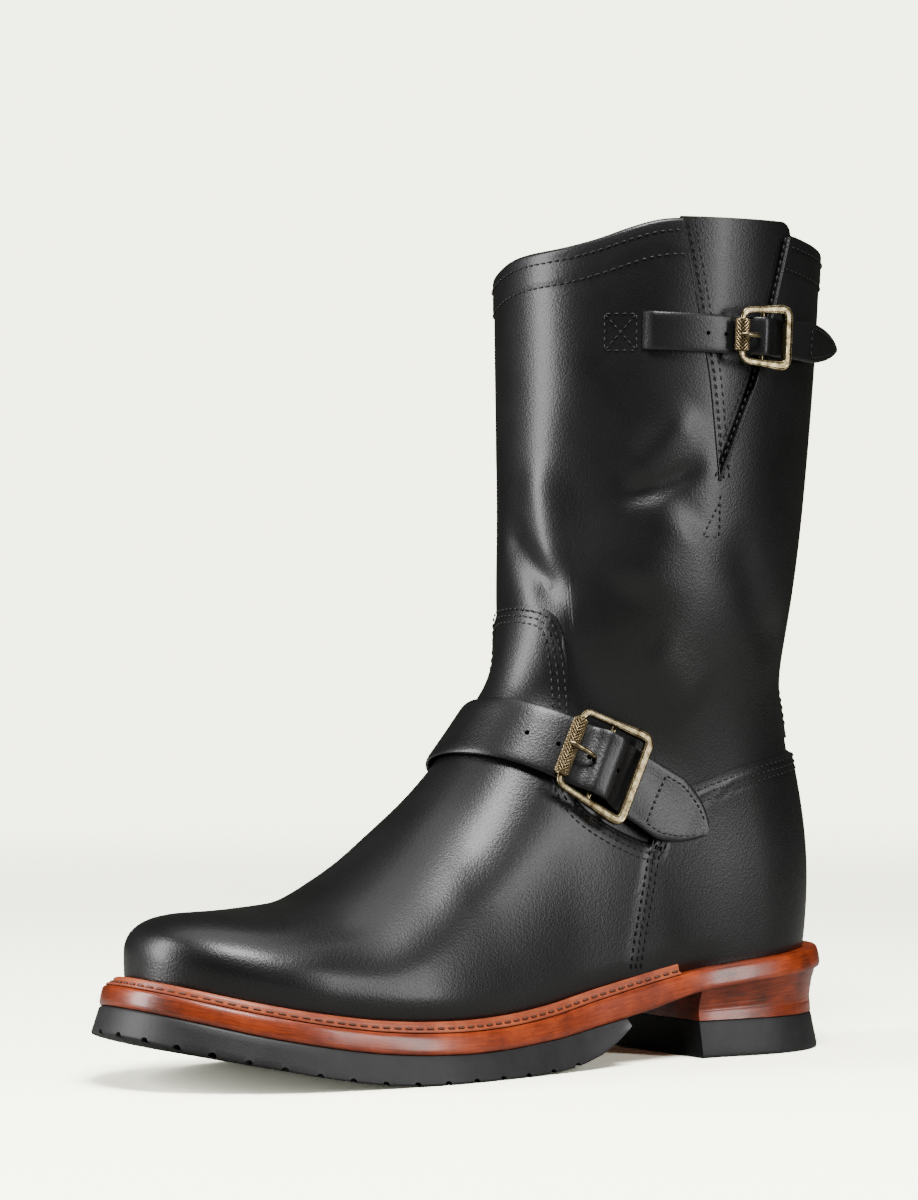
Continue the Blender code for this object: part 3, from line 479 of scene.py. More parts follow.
def foot_value(x, y, z):
    """Below zero inside the foot's form, above zero outside it."""
    share = along(x)
    crown, lateral, medial, ridge, rounding = (curve(share) for curve in FOOT_CURVES)
    base = sole_top(x)
    side = base + SIDE_HEIGHT
    top = base + crown * INSTEP_HEIGHT
    up = (z - side) / (top - side)
    offset = y - ridge * BALL_WIDTH * np.clip(up, 0, 1)
    half = np.where(offset > 0, lateral, medial) * BALL_WIDTH
    tuck = np.clip((side - z) / SIDE_HEIGHT, 0, 2)
    half = half - SIDE_TUCK * tuck**2
    toe = np.clip((share - TOE_START) / (TOE_END - TOE_START), 0, 3)
    heel = np.clip((FOOT_START - share) / (FOOT_START - FOOT_END), 0, 3)
    plan = (np.abs(offset) / half) ** TOE_PLAN + toe**TOE_PLAN + heel**TOE_PLAN
    section = plan ** (rounding / TOE_PLAN) + np.clip(up, 0, None) ** rounding
    return (section ** (1 / rounding) - 1) * 0.5 * BALL_WIDTH


def leg_rows():
    """Heel and shaft sections as rows of real sizes: height, back, middle, front, lateral, medial."""
    rows = []
    for level, back, middle, front, lateral, medial, rounding in HEEL:
        sizes = place(back), place(middle), place(front), lateral * HEEL_WIDTH, medial * HEEL_WIDTH
        rows.append((level * ANKLE_HEIGHT, *sizes, rounding))
    for level, back, middle, front, lateral, medial, rounding in SHAFT:
        height = ANKLE_HEIGHT + level * (COLLAR_HEIGHT - ANKLE_HEIGHT)
        sizes = place(back), place(middle), place(front), lateral * SHAFT_WIDTH, medial * SHAFT_WIDTH
        rows.append((height, *sizes, rounding))
    return rows


LEG_CURVES = [quick_curve(leg_rows(), i, natural_spline) for i in range(1, 7)]


def leg_value(x, y, z):
    """Below zero inside the heel, ankle and shaft, above zero outside them."""
    back, middle, front, lateral, medial, rounding = (curve(z) for curve in LEG_CURVES)
    depth = np.where(x > middle, front - middle, middle - back)
    half = np.where(y > 0, lateral, medial)
    section = (np.abs(x - middle) / depth) ** rounding + (np.abs(y) / half) ** rounding
    return (section ** (1 / rounding) - 1) * 0.5 * SHAFT_WIDTH


def last_value(points):
    """The foot and the leg joined with a soft hollow between them."""
    x, y, z = points[..., 0], points[..., 1], points[..., 2]
    foot = foot_value(x, y, z)
    leg = leg_value(x, y, z)
    near = np.clip(BLEND - np.abs(foot - leg), 0, None) / BLEND
    return np.minimum(foot, leg) - near**2 * BLEND / 4


def cast(start, direction):
    """Where the rays from inside the last leave it."""
    shape = np.broadcast_shapes(np.shape(start), np.shape(direction))
    direction = np.broadcast_to(direction, shape)
    low = np.zeros(shape[:-1])
    high = np.full(shape[:-1], FAR)
    for _ in range(HALVINGS):
        middle = (low + high) / 2
        inside = last_value(start + direction * middle[..., None]) < 0
        low = np.where(inside, middle, low)
        high = np.where(inside, high, middle)
    return start + direction * low[..., None]


def slope_of(points):
    """How steeply the last's value grows in each direction."""
    slope = np.empty_like(points)
    for axis in range(3):
        shift = np.zeros(3)
        shift[axis] = NORMAL_STEP
        slope[..., axis] = last_value(points + shift) - last_value(points - shift)
    return slope / (2 * NORMAL_STEP)


def outward(points):
    """Unit normals of the last's surface."""
    return unit(slope_of(points))


def ray_point(azimuth, elevation):
    """Surface point seen from the ray start at these angles, in degrees."""
    turn, lift = np.broadcast_arrays(np.radians(azimuth), np.radians(elevation))
    flat = np.cos(lift)
    direction = np.stack([np.cos(turn) * flat, np.sin(turn) * flat, np.sin(lift)], axis=-1)
    return cast(np.array([RAY_X, 0, RAY_HEIGHT]), direction)


def azimuth_of(points):
    return np.degrees(np.arctan2(points[..., 1], points[..., 0] - RAY_X))


def run_lengths(points):
    steps = np.linalg.norm(np.diff(points, axis=0), axis=-1)
    return np.concatenate([[0], np.cumsum(steps)])


def first_above(level):
    """The fractional index at which a rising list first passes zero for good."""
    below = np.nonzero(level < 0)[0]
    i = below[-1] if len(below) else 0
    i = min(i, len(level) - 2)
    return i + level[i] / (level[i] - level[i + 1])


def even_azimuths(elevations, height_of, count):
    """Azimuths whose points lie evenly round the last on the line that height_of gives."""
    turns = np.linspace(-180, 180, TURN_COUNT)
    rays = ray_point(turns[:, None], elevations[None, :])
    ring = []
    for ray in rays:
        index = first_above(ray[:, 2] - height_of(ray))
        ring.append([np.interp(index, range(len(ray)), ray[:, axis]) for axis in range(3)])
    lengths = run_lengths(np.array(ring))
    from_toe = lengths - np.interp(0, turns, lengths)
    lateral = np.interp(np.linspace(0, 1, count // 2 + 1) * from_toe[-1], from_toe, turns)
    medial = np.interp(np.linspace(0, 1, count // 2 + 1) * from_toe[0], from_toe, turns)
    return np.concatenate([lateral, medial[::-1][1:-1] + 360])


def feather(points):
    return sole_top(points[:, 0]) + SEAT_GAP


def collar(points):
    return COLLAR_TOP(azimuth_of(points))


def layer_edge(points):
    return LAYER_TOP(azimuth_of(points))


def upper_grid(ribs, foot_rows, shaft_rows):
    """Points of the last: a rib for each azimuth, rows from the feather line up to the vamp's and
    counter's edge and from there to the collar."""
    elevations = RAY_LOW + (RAY_HIGH - RAY_LOW) * np.linspace(0, 1, RAY_ROWS) ** RAY_CROWDING
    low = even_azimuths(elevations, feather, ribs)
    high = even_azimuths(elevations, collar, ribs)
    blend = np.clip((elevations - TURNING_START) / (TURNING_END - TURNING_START), 0, 1)
    blend = blend**2 * (3 - 2 * blend)
    turns = low[:, None] + (high - low)[:, None] * blend[None, :]
    rays = ray_point(turns, np.broadcast_to(elevations, turns.shape))
    grid = []
    indices = np.arange(len(elevations))
    for turn, ray in zip(turns, rays):
        start = first_above(ray[:, 2] - feather(ray))
        edge = first_above(ray[:, 2] - layer_edge(ray))
        end = first_above(ray[:, 2] - collar(ray))
        lengths = run_lengths(ray)
        marks = np.interp([start, edge, end], indices, lengths)
        lower = marks[0] + (marks[1] - marks[0]) * np.linspace(0, 1, foot_rows + 1) ** ROW_CROWDING
        upper = np.linspace(marks[1], marks[2], shaft_rows + 1)
        wanted = np.interp(np.concatenate([lower, upper]), lengths, indices)
        grid.append(ray_point(np.interp(wanted, indices, turn), np.interp(wanted, indices, elevations)))
    return np.array(grid)


def feather_outline():
    """The upper's outline where it meets the sole, from the toe round the lateral side."""
    last = upper_grid(RIBS, 2, 2)[:, 0]
    normals = unit(outward(last) * (1, 1, 0))
    outline = last + normals * LAYER
    return outline[:, :2], normals[:, :2]


OUTLINE, OUTLINE_NORMALS = feather_outline()


def offset_outline(reach):
    """The feather line moved outward by reach, a length or a list with one for each point."""
    return OUTLINE + OUTLINE_NORMALS * np.reshape(reach, (-1, 1))


def both_sides(outline):
    """The lateral and the medial side of an outline, both from the toe to the heel."""
    half = len(outline) // 2
    return outline[: half + 1], np.concatenate([outline[:1], outline[half:][::-1]])


def side_runs(outline, front, back, steps):
    """Points along the lateral and the medial side between two places along the boot, at the same
    places on both sides and close together at a rounded tip. None for front or back means the tip."""
    first = outline[:, 0].max() if front is None else front
    last = outline[:, 0].min() if back is None else back
    share = np.linspace(0, 1, steps + 1)
    if front is None and back is None:
        share = (1 - np.cos(math.pi * share)) / 2
    elif front is None:
        share = 1 - np.cos(math.pi / 2 * share)
    elif back is None:
        share = np.sin(math.pi / 2 * share)
    stations = first + (last - first) * share
    runs = []
    for side in both_sides(outline):
        falling = np.minimum.accumulate(side[:, 0])
        runs.append(np.column_stack([stations, np.interp(-stations, -falling, side[:, 1])]))
    return runs


def loop_points(outline, front, back, steps):
    """One closed ring, anticlockwise from above: lateral side from front to back, medial side from
    back to front. A tip that both sides share is taken once."""
    lateral, medial = side_runs(outline, front, back, steps)
    if front is None:
        lateral = lateral[1:]
    if back is None:
        medial = medial[:-1]
    return np.concatenate([lateral, medial[::-1]])


def edge_outline(extra=0.0):
    """The sole's edge: the feather line moved out by the reach for its place along the boot."""
    return offset_outline(REACH(along(OUTLINE[:, 0])) + extra)


def heel_height(share):
    """The level at this share of the way from the top lift up to the midsole."""
    return lambda x: LIFT + share * (sole_under(x) - CLEARANCE - LIFT)


def slit_line(index, height):
    """Place along the boot of the gore slit's front or back edge at a height."""
    heights = column(GORE_SLIT, 0) * COLLAR_HEIGHT
    return place(np.interp(height, heights, column(GORE_SLIT, index)))


def strap_points(strap, angles, across=0.0):
    """The last's surface under a strap, at angles and distances from the strap's middle line."""
    turn, across = np.broadcast_arrays(np.radians(angles), across)
    up = unit(np.array([-strap.slope_x, -strap.slope_y, 1.0]))
    middle = np.array([strap.centre, 0, strap.height + strap.slope_x * strap.centre])
    climb = strap.slope_x * np.cos(turn) + strap.slope_y * np.sin(turn)
    run = unit(np.stack([np.cos(turn), np.sin(turn), climb], axis=-1))
    return cast(middle + up * across[..., None], run)


def strap_frames(strap, angles):
    """Surface point, run along the strap, direction across it and outward normal at angles."""
    spots = strap_points(strap, angles)
    run = unit(strap_points(strap, angles + 1) - spots)
    normals = outward(spots)
    normals = unit(normals - run * np.sum(normals * run, axis=-1, keepdims=True))
    return spots, run, np.cross(normals, run), normals


def strap_values(strap, angles, index):
    """A strap's lift (index 1) or share of its width (2) at angles."""
    return monotone_spline(column(strap.rows, 0), column(strap.rows, index), angles)


Buckle = collections.namedtuple("Buckle", "strap spot run across out half")


def buckle_on(strap, roller, bar):
    """A buckle over its strap: its middle, its directions along, across and out, and half its length."""
    start, _, _, out = strap_frames(strap, roller)
    start = start + out * (strap_values(strap, roller, 1) + STRAP + CLEARANCE + ROLLER)
    end, _, _, out = strap_frames(strap, bar)
    end = end + out * (strap_values(strap, bar, 1) + STRAP + BAR_STAND + BAR)
    run = unit(end - start)
    across = strap_frames(strap, (roller + bar) / 2)[2]
    across = unit(across - run * (across @ run))
    half = np.linalg.norm(end - start) / 2
    return Buckle(strap, (start + end) / 2, run, across, np.cross(run, across), half)


# Fine form of the leather

# Soft folds of the shaft and the vamp: height out of the last and width in mm, then a line of
# azimuth in degrees and height in mm
FOLDS = (
    # out, width, line
    (-1.5, 4.0, ((44, 203), (56, 205.5), (70, 209.5), (88, 217.5))),
    (1.4, 7.0, ((46, 211), (58, 218), (70, 227), (82, 239))),
    (1.8, 14.0, ((78, 204), (64, 190), (51, 167))),
    (-2.2, 6.5, ((-16, 198), (0, 186), (13, 175), (27, 161))),
    (1.0, 8.0, ((9, 222), (14, 200), (24, 174))),
    (-1.2, 13.0, ((36, 246), (33, 216), (32, 188), (39, 154))),
    (-1.2, 9.0, ((100, 196), (112, 176), (126, 158), (146, 146))),
    (1.1, 10.0, ((58, 150), (76, 138), (96, 128))),
    (-1.6, 6.0, ((-30, 196), (-50, 203), (-76, 210), (-96, 214))),
    (1.4, 9.0, ((-34, 210), (-56, 220), (-84, 230))),
    (-1.5, 7.0, ((-60, 168), (-90, 158), (-124, 150), (-150, 146))),
    (1.2, 11.0, ((-56, 184), (-90, 178), (-126, 168))),
    (-1.4, 8.0, ((150, 143), (180, 139), (210, 143))),
)

# A fold fades over this share of its length at both ends; its line has this many points to a stretch
FOLD_FADE = 0.3
FOLD_STEPS = 8
NEARING_STEPS = 6


def on_last(points):
    """The nearest points of the last's surface."""
    for _ in range(NEARING_STEPS):
        slope = slope_of(points)
        size = np.sum(slope**2, axis=-1, keepdims=True)
        points = points - last_value(points)[..., None] * slope / size
    return points


def level_point(azimuth, height):
    """The last's surface at an azimuth round the ankle and a height."""
    turn, height = np.broadcast_arrays(np.radians(azimuth), np.asarray(height, float))
    flat = np.zeros(height.shape)
    start = np.stack([flat + RAY_X, flat, height], axis=-1)
    return cast(start, np.stack([np.cos(turn), np.sin(turn), flat], axis=-1))


def smooth(value):
    value = np.clip(value, 0, 1)
    return value**2 * (3 - 2 * value)


def distance_to(points, line):
    """Distance to a line of points, and the share of its length where it is nearest."""
    best = np.full(points.shape[:-1], FAR)
    share = np.zeros(points.shape[:-1])
    lengths = run_lengths(line)
    for i, (low, high) in enumerate(zip(line, line[1:])):
        run = high - low
        at = np.clip((points - low) @ run / (run @ run), 0, 1)
        away = np.linalg.norm(points - low - at[..., None] * run, axis=-1)
        nearer = away < best
        best = np.where(nearer, away, best)
        share = np.where(nearer, (lengths[i] + at * (lengths[i + 1] - lengths[i])) / lengths[-1], share)
    return best, share


def through(knots, count):
    """Points evenly along the smooth curve through the knots."""
    marks = np.linspace(0, len(knots) - 1, count)
    order = np.arange(len(knots))
    return np.column_stack([natural_spline(order, column(knots, i), marks) for i in range(len(knots[0]))])


def fold_line(line):
    turns, heights = through(line, FOLD_STEPS * (len(line) - 1) + 1).T
    return level_point(turns, heights * MM)


FOLD_LINES = [(out * MM, width * MM, fold_line(line)) for out, width, line in FOLDS]


def folds(points):
    """Height of the soft creases over the last."""
    total = np.zeros(points.shape[:-1])
    for out, width, line in FOLD_LINES:
        away, share = distance_to(points, line)
        fade = smooth(share / FOLD_FADE) * smooth((1 - share) / FOLD_FADE)
        total += out * np.exp(-((away / width) ** 2)) * fade
    return total


# The upper edge of the vamp and the counter as points of the last, once round
EDGE_TURNS = np.linspace(-180, 180, 900)
LAYER_EDGE_LINE = level_point(EDGE_TURNS, LAYER_TOP(EDGE_TURNS))

# The counter's front edge over the vamp, as azimuth in degrees and height in mm; how far it stands
# over the vamp, and the degrees over which it rises, with the share of them that lies in front of it
SIDE_SEAM = ((62.5, 83), (60.3, 78), (58.4, 72.6), (55, 58.7), (51.8, 45), (50, 34))
SEAM_POINTS = 60
SEAM_STEP = 0.45 * MM
SEAM_RISE = 5.0
SEAM_LEAD = 0.3

# Stitch rows below the layers' edge, and how deep and wide a row draws the leather in
STITCH_ROWS = (1.7 * MM, 4.1 * MM, 6.5 * MM)
QUILT = 0.22 * MM
QUILT_WIDTH = 0.7 * MM


def side_seam(side):
    """The counter's front edge on the lateral side (1) or the medial side (-1)."""
    knots = np.linspace(0, len(SIDE_SEAM) - 1, SEAM_POINTS)
    turns, heights = (np.interp(knots, range(len(SIDE_SEAM)), column(SIDE_SEAM, i)) for i in (0, 1))
    return level_point(side * turns, heights * MM)


def behind_seam(points):
    """One on the counter, zero on the vamp, with a short rise between them."""
    turn = np.abs(azimuth_of(points))
    heights = column(SIDE_SEAM, 1)[::-1] * MM
    edge = np.interp(points[..., 2], heights, column(SIDE_SEAM, 0)[::-1])
    return smooth((turn - edge) / SEAM_RISE + SEAM_LEAD)


def nearest(points, line):
    """Distance from each point to the nearest of a line's points."""
    tree = mathutils.kdtree.KDTree(len(line))
    for i, point in enumerate(line):
        tree.insert(point, i)
    tree.balance()
    flat = points.reshape(-1, 3)
    return np.array([tree.find(point)[2] for point in flat]).reshape(points.shape[:-1])


def quilt(away):
    """How deep a stitch row draws the leather in, at a distance from the row."""
    return QUILT * np.exp(-((away / QUILT_WIDTH) ** 2))


def layer_form(points):
    """Height of the vamp and the counter over the last, away from their rounded edge."""
    away = nearest(points, LAYER_EDGE_LINE)
    height = LAYER + SEAM_STEP * behind_seam(points) * smooth(away / (3 * MM))
    for row in STITCH_ROWS:
        height -= quilt(away - row)
    return height


# Making pieces

# Edges sharper than this stay sharp; points nearer than this are one
SHARP = math.radians(38)
MERGE = 1e-6


def hex_color(code):
    """Linear colour of an sRGB hex value."""
    values = [int(code[i : i + 2], 16) / 255 for i in (1, 3, 5)]
    return [v / 12.92 if v <= 0.04045 else ((v + 0.055) / 1.055) ** 2.4 for v in values] + [1.0]


def settled(mesh, name):
    """A finished mesh as an object's data."""
    data = bpy.data.meshes.new(name)
    mesh.to_mesh(data)
    mesh.free()
    return data


def put(name, data):
    """An object in the scene."""
    made = bpy.data.objects.new(name, data)
    bpy.context.scene.collection.objects.link(made)
    return made


def gather(own, mesh):
    """Adds one mesh to another."""
    loose = settled(own, "loose")
    mesh.from_mesh(loose)
    bpy.data.meshes.remove(loose)


def wrapped(points, around=True, ends=True, mesh=None):
    """A skin over rows of points: a grid whose vertices move to them. Around joins each row's ends,
    and ends closes the first and last rows."""
    own = bmesh.new()
    if around:
        points = np.concatenate([points, points[:, :1]], axis=1)
    rows, columns = points.shape[:2]
    bmesh.ops.create_grid(own, x_segments=columns - 1, y_segments=rows - 1, size=0.5)
    for vertex in own.verts:
        i = round((vertex.co.y + 0.5) * (rows - 1))
        j = round((vertex.co.x + 0.5) * (columns - 1))
        vertex.co = points[i, j]
    bmesh.ops.remove_doubles(own, verts=own.verts, dist=MERGE)
    if ends:
        border = [edge for edge in own.edges if edge.is_boundary]
        bmesh.ops.holes_fill(own, edges=border, sides=0)
    bmesh.ops.recalc_face_normals(own, faces=own.faces)
    if mesh is None:
        return own
    gather(own, mesh)
    return mesh


def piece(mesh, name, material, nodes=()):
    """A visible piece with its finish, which takes the place of nodes of the CAD."""
    data = settled(mesh, name)
    data.shade_smooth()
    data.set_sharp_from_angle(angle=SHARP)
    data.materials.append(material)
    made = put(name, data)
    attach(made, "root")
    if nodes:
        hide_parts(*nodes)
    return made


def carve(target, cutter_mesh, solver="EXACT"):
    """Cuts a shape out of a piece and keeps the result as its mesh."""
    bmesh.ops.recalc_face_normals(cutter_mesh, faces=cutter_mesh.faces)
    cutter = put("cutter", settled(cutter_mesh, "cutter"))
    modifier = target.modifiers.new("cut", "BOOLEAN")
    modifier.operation = "DIFFERENCE"
    modifier.object = cutter
    modifier.solver = solver
    bpy.context.view_layer.update()
    done = bpy.data.meshes.new_from_object(target.evaluated_get(bpy.context.evaluated_depsgraph_get()))
    target.modifiers.clear()
    target.data = done
    done.set_sharp_from_angle(angle=SHARP)
    bpy.data.objects.remove(cutter)


def turned(center, run, across, out):
    """The matrix that lays a form's own axes along three directions."""
    matrix = mathutils.Matrix((run, across, out)).transposed().to_4x4()
    matrix.translation = center
    return matrix


# Share of the pitch that a stitch covers, and of its radius that lies in the leather
STITCH_FILL = 0.74
STITCH_SINK = 0.35


def stitch_marks(line, pitch):
    """Start and end of each stitch along a line of points."""
    lengths = run_lengths(line)
    count = max(1, int(lengths[-1] / pitch))
    marks = (np.arange(count) + 0.5) * lengths[-1] / count
    ends = []
    for shift in (-STITCH_FILL / 2, STITCH_FILL / 2):
        at = marks + shift * pitch
        ends.append(np.column_stack([np.interp(at, lengths, line[:, axis]) for axis in range(3)]))
    return ends


def sew(mesh, line, normals, pitch, radius, sink=STITCH_SINK):
    """Stitches of thread along a line, each a slim bead that lies in the leather."""
    own = bmesh.new()
    starts, stops = stitch_marks(line, pitch)
    lengths = run_lengths(line)
    shares = (np.arange(len(starts)) + 0.5) / len(starts)
    picks = np.interp(shares, lengths / lengths[-1], np.arange(len(line))).round().astype(int)
    for start, stop, out in zip(starts, stops, normals[picks]):
        run = unit(stop - start)
        across = unit(np.cross(out, run))
        matrix = turned((start + stop) / 2 + out * radius * (1 - sink), run, across, np.cross(run, across))
        matrix @= mathutils.Matrix.Diagonal((np.linalg.norm(stop - start) / 2, radius, radius, 1))
        bmesh.ops.create_uvsphere(own, u_segments=6, v_segments=5, radius=1, matrix=matrix)
    gather(own, mesh)


def beside(line, distance):
    """A line on the last beside another, to the left of its run seen from outside."""
    side = unit(np.cross(outward(line), np.gradient(line, axis=0)))
    return on_last(line + side * distance)


# Finishes


def node(tree, kind, settings=None, **links):
    """Adds a node, sets its properties and default values, and links its inputs."""
    made = tree.nodes.new(kind)
    for key, value in (settings or {}).items():
        setattr(made, key, value)
    for key, value in links.items():
        numbered = key[0] == "i" and key[1:].isdigit()
        socket = made.inputs[int(key[1:]) if numbered else key.replace("_", " ")]
        if isinstance(value, bpy.types.NodeSocket):
            tree.links.new(value, socket)
        else:
            socket.default_value = value
    return made


def object_place(tree):
    """The place in the piece that a pattern is laid out by."""
    return node(tree, "ShaderNodeTexCoord").outputs["Object"]


def noise(tree, at, scale, detail, roughness=0.5):
    """Values of a cloudy pattern."""
    links = {"Vector": at, "Scale": scale, "Detail": detail, "Roughness": roughness}
    return node(tree, "ShaderNodeTexNoise", **links).outputs["Fac"]


def blend(tree, value, share, rest):
    """A share of one value added to another."""
    made = node(tree, "ShaderNodeMath", {"operation": "MULTIPLY_ADD"}, i0=value, i1=share, i2=rest)
    return made.outputs["Value"]


def rough_range(tree, shader, value, low, high):
    """Lets the roughness go from low to high as a value grows."""
    made = node(tree, "ShaderNodeMapRange", Value=value, To_Min=low, To_Max=high)
    tree.links.new(made.outputs["Result"], shader.inputs["Roughness"])


def relief(tree, shader, height, strength, distance):
    """Gives the finish a fine relief."""
    made = node(tree, "ShaderNodeBump", Strength=strength, Distance=distance, Height=height)
    tree.links.new(made.outputs["Normal"], shader.inputs["Normal"])


def finish(name, base, roughness, metallic=0.0, coat=0.0, coat_roughness=0.1, specular=0.5):
    """A material with its shader, and the tree to add the pattern to."""
    made = bpy.data.materials.new(name)
    made.use_nodes = True
    tree = made.node_tree
    shader = tree.nodes["Principled BSDF"]
    shader.inputs["Base Color"].default_value = hex_color(base)
    shader.inputs["Roughness"].default_value = roughness
    shader.inputs["Metallic"].default_value = metallic
    shader.inputs["Coat Weight"].default_value = coat
    shader.inputs["Coat Roughness"].default_value = coat_roughness
    shader.inputs["Specular IOR Level"].default_value = specular
    return made, tree, shader


def ramp(tree, shader, value, *stops):
    """Lets the colour run through stops of position and colour as a value grows."""
    made = node(tree, "ShaderNodeValToRGB", Fac=value)
    elements = made.color_ramp.elements
    for element, (position, code) in zip(elements, (stops[0], stops[-1])):
        element.position, element.color = position, hex_color(code)
    for position, code in stops[1:-1]:
        elements.new(position).color = hex_color(code)
    tree.links.new(made.outputs["Color"], shader.inputs["Base Color"])


def black_leather():
    """Smooth finished cowhide: near black, with a waxy broad sheen and a fine pebble grain."""
    roughness = 0.34
    made, tree, shader = finish(
        "smooth_black_cowhide", "#0f0f11", roughness, coat=0.10, coat_roughness=0.2, specular=0.45
    )
    at = object_place(tree)
    # Grain cells are about 0.9 mm across, drawn a little coarser than the real 0.5 mm
    cells = node(tree, "ShaderNodeTexVoronoi", {"feature": "F1"}, Vector=at, Scale=1100.0)
    fine = noise(tree, at, 1800.0, 3.0)
    pull = noise(tree, at, 160.0, 4.0, 0.6)
    cloud = noise(tree, at, 28.0, 3.0)
    grain = blend(tree, cells.outputs["Distance"], 0.8, fine)
    relief(tree, shader, blend(tree, pull, 0.5, grain), 0.16, 0.4 * MM)
    ramp(tree, shader, cloud, (0.35, "#0b0b0c"), (0.7, "#131315"))
    rough_range(tree, shader, cloud, roughness - 0.05, roughness + 0.08)
    return made


def tan_edge(name, dark, mid, light, roughness=0.34, coat=0.35):
    """Veg-tan sole leather, dyed and burnished: warm layers along the edge under a wax shine."""
    made, tree, shader = finish(name, mid, roughness, coat=coat, coat_roughness=0.16)
    lie = node(tree, "ShaderNodeAttribute", {"attribute_name": "along_sole"}).outputs["Vector"]
    # Fibres run along the edge: about 8 mm long and 0.4 mm thick
    stretch = node(tree, "ShaderNodeMapping", Vector=lie, Scale=(120.0, 120.0, 2400.0))
    fibres = noise(tree, stretch.outputs["Vector"], 1.0, 4.0, 0.6)
    stain = noise(tree, lie, 45.0, 4.0, 0.65)
    ramp(tree, shader, blend(tree, fibres, 0.6, stain), (0.55, dark), (0.8, mid), (1.0, light))
    relief(tree, shader, fibres, 0.25, 0.3 * MM)
    return made


def black_rubber():
    """Moulded black rubber: dull, grey where dust and mould bloom lie on it."""
    made, tree, shader = finish("moulded_black_rubber", "#161617", 0.52)
    at = object_place(tree)
    bloom = noise(tree, at, 90.0, 5.0, 0.7)
    ramp(tree, shader, bloom, (0.35, "#101011"), (0.75, "#202021"))
    relief(tree, shader, noise(tree, at, 1500.0, 2.0), 0.2, 0.3 * MM)
    return made


def antique_brass(name, dark, light, roughness):
    """Cast brass with a dark patina that is rubbed bright on its faces."""
    made, tree, shader = finish(name, light, roughness, metallic=1.0)
    patina = noise(tree, object_place(tree), 420.0, 4.0, 0.65)
    ramp(tree, shader, patina, (0.36, dark), (0.62, light))
    rough_range(tree, shader, patina, roughness + 0.08, roughness - 0.06)
    relief(tree, shader, patina, 0.15, 0.2 * MM)
    return made


def thread(name, code):
    """Waxed bonded thread: dull, with the twist of its plies as a fine relief."""
    made, tree, shader = finish(name, code, 0.5)
    relief(tree, shader, noise(tree, object_place(tree), 2500.0, 2.0), 0.3, 0.2 * MM)
    return made


LEATHER = black_leather()
EDGE_TAN = tan_edge("burnished_tan_edge", "#4a1a08", "#86300d", "#a8441a")
WELT_TAN = tan_edge("waxed_tan_welt", "#74301a", "#964323", "#b25c37", 0.45, 0.12)
RUBBER = black_rubber()
BRASS = antique_brass("antique_cast_brass", "#51452f", "#978a6a", 0.28)
KNURLED_BRASS = antique_brass("patinated_knurled_brass", "#6e6048", "#87775a", 0.30)
BLACK_THREAD = thread("waxed_black_thread", "#0c0c0d")
BROWN_THREAD = thread("waxed_brown_thread", "#5b3220")

# Upper

UPPER_FOOT_ROWS = 88
UPPER_SHAFT_ROWS = 100
RIM_ROWS = 5
# The inside has one row for this many rows outside
INNER_STEP = 4
# The row of points at the layers' edge is set in by this share of their thickness
EDGE_INSET = 0.75
# The folded topline: how far down it reaches, how far it stands out, the width of its step and the
# depth of its stitch row under the collar
TOPLINE = 11.5 * MM
TOPLINE_STAND = 0.5 * MM
TOPLINE_STEP = 1.0 * MM
TOPLINE_ROW = 3.2 * MM


def make_upper():
    """The whole wall as one skin: outside from the feather line to the collar, over the rim and
    down the inside."""
    last = upper_grid(RIBS, UPPER_FOOT_ROWS, UPPER_SHAFT_ROWS).transpose(1, 0, 2)
    normals = outward(last)
    lift = folds(last)
    edge = UPPER_FOOT_ROWS
    lift[: edge + 1] += layer_form(last[: edge + 1])
    lift[edge] -= EDGE_INSET * LAYER
    shaft = last[edge + 1 :]
    below_collar = COLLAR_TOP(azimuth_of(shaft)) - shaft[..., 2]
    lift[edge + 1 :] += TOPLINE_STAND * smooth((TOPLINE - below_collar) / TOPLINE_STEP)
    lift[edge + 1 :] -= quilt(below_collar - TOPLINE_ROW)
    outer = last + normals * lift[..., None]
    rim = []
    for turn in np.linspace(0, math.pi, RIM_ROWS + 2)[1:-1]:
        across = (lift[-1] - WALL) / 2 + (lift[-1] + WALL) / 2 * math.cos(turn)
        row = last[-1] + normals[-1] * across[:, None]
        row[:, 2] += (lift[-1] + WALL)[0] / 2 * math.sin(turn)
        rim.append(row)
    inside = last - normals * WALL
    inner = np.concatenate([inside[::-INNER_STEP], inside[:1]])
    for row in (outer[0], inner[-1]):
        row[:, 2] = sole_top(row[:, 0]) + SEAT_GAP
    return wrapped(np.concatenate([outer, rim, inner, outer[:1]]), ends=False)


SLIT_ROWS = 24
# A slot's width along the strap, its room beside the strap and its depth
SLOT = 1.6 * MM
SLOT_ROOM = 2 * MM
SLOT_DEPTH = 12 * MM


def slit_prism():
    """The V opening of the shaft, for cutting."""
    mesh = bmesh.new()
    heights = np.linspace(GORE_SLIT[0][0], GORE_SLIT[-1][0], SLIT_ROWS) * COLLAR_HEIGHT
    edge = [(slit_line(1, height), height) for height in heights]
    edge += [(slit_line(2, height), height) for height in heights[:0:-1]]
    corners = [mesh.verts.new((x, SHAFT_WIDTH / 4, z)) for x, z in edge]
    face = mesh.faces.new(corners)
    grown = bmesh.ops.extrude_face_region(mesh, geom=[face])["geom"]
    moved = [item for item in grown if isinstance(item, bmesh.types.BMVert)]
    bmesh.ops.translate(mesh, verts=moved, vec=(0, SHAFT_WIDTH / 2, 0))
    bmesh.ops.recalc_face_normals(mesh, faces=mesh.faces)
    return mesh


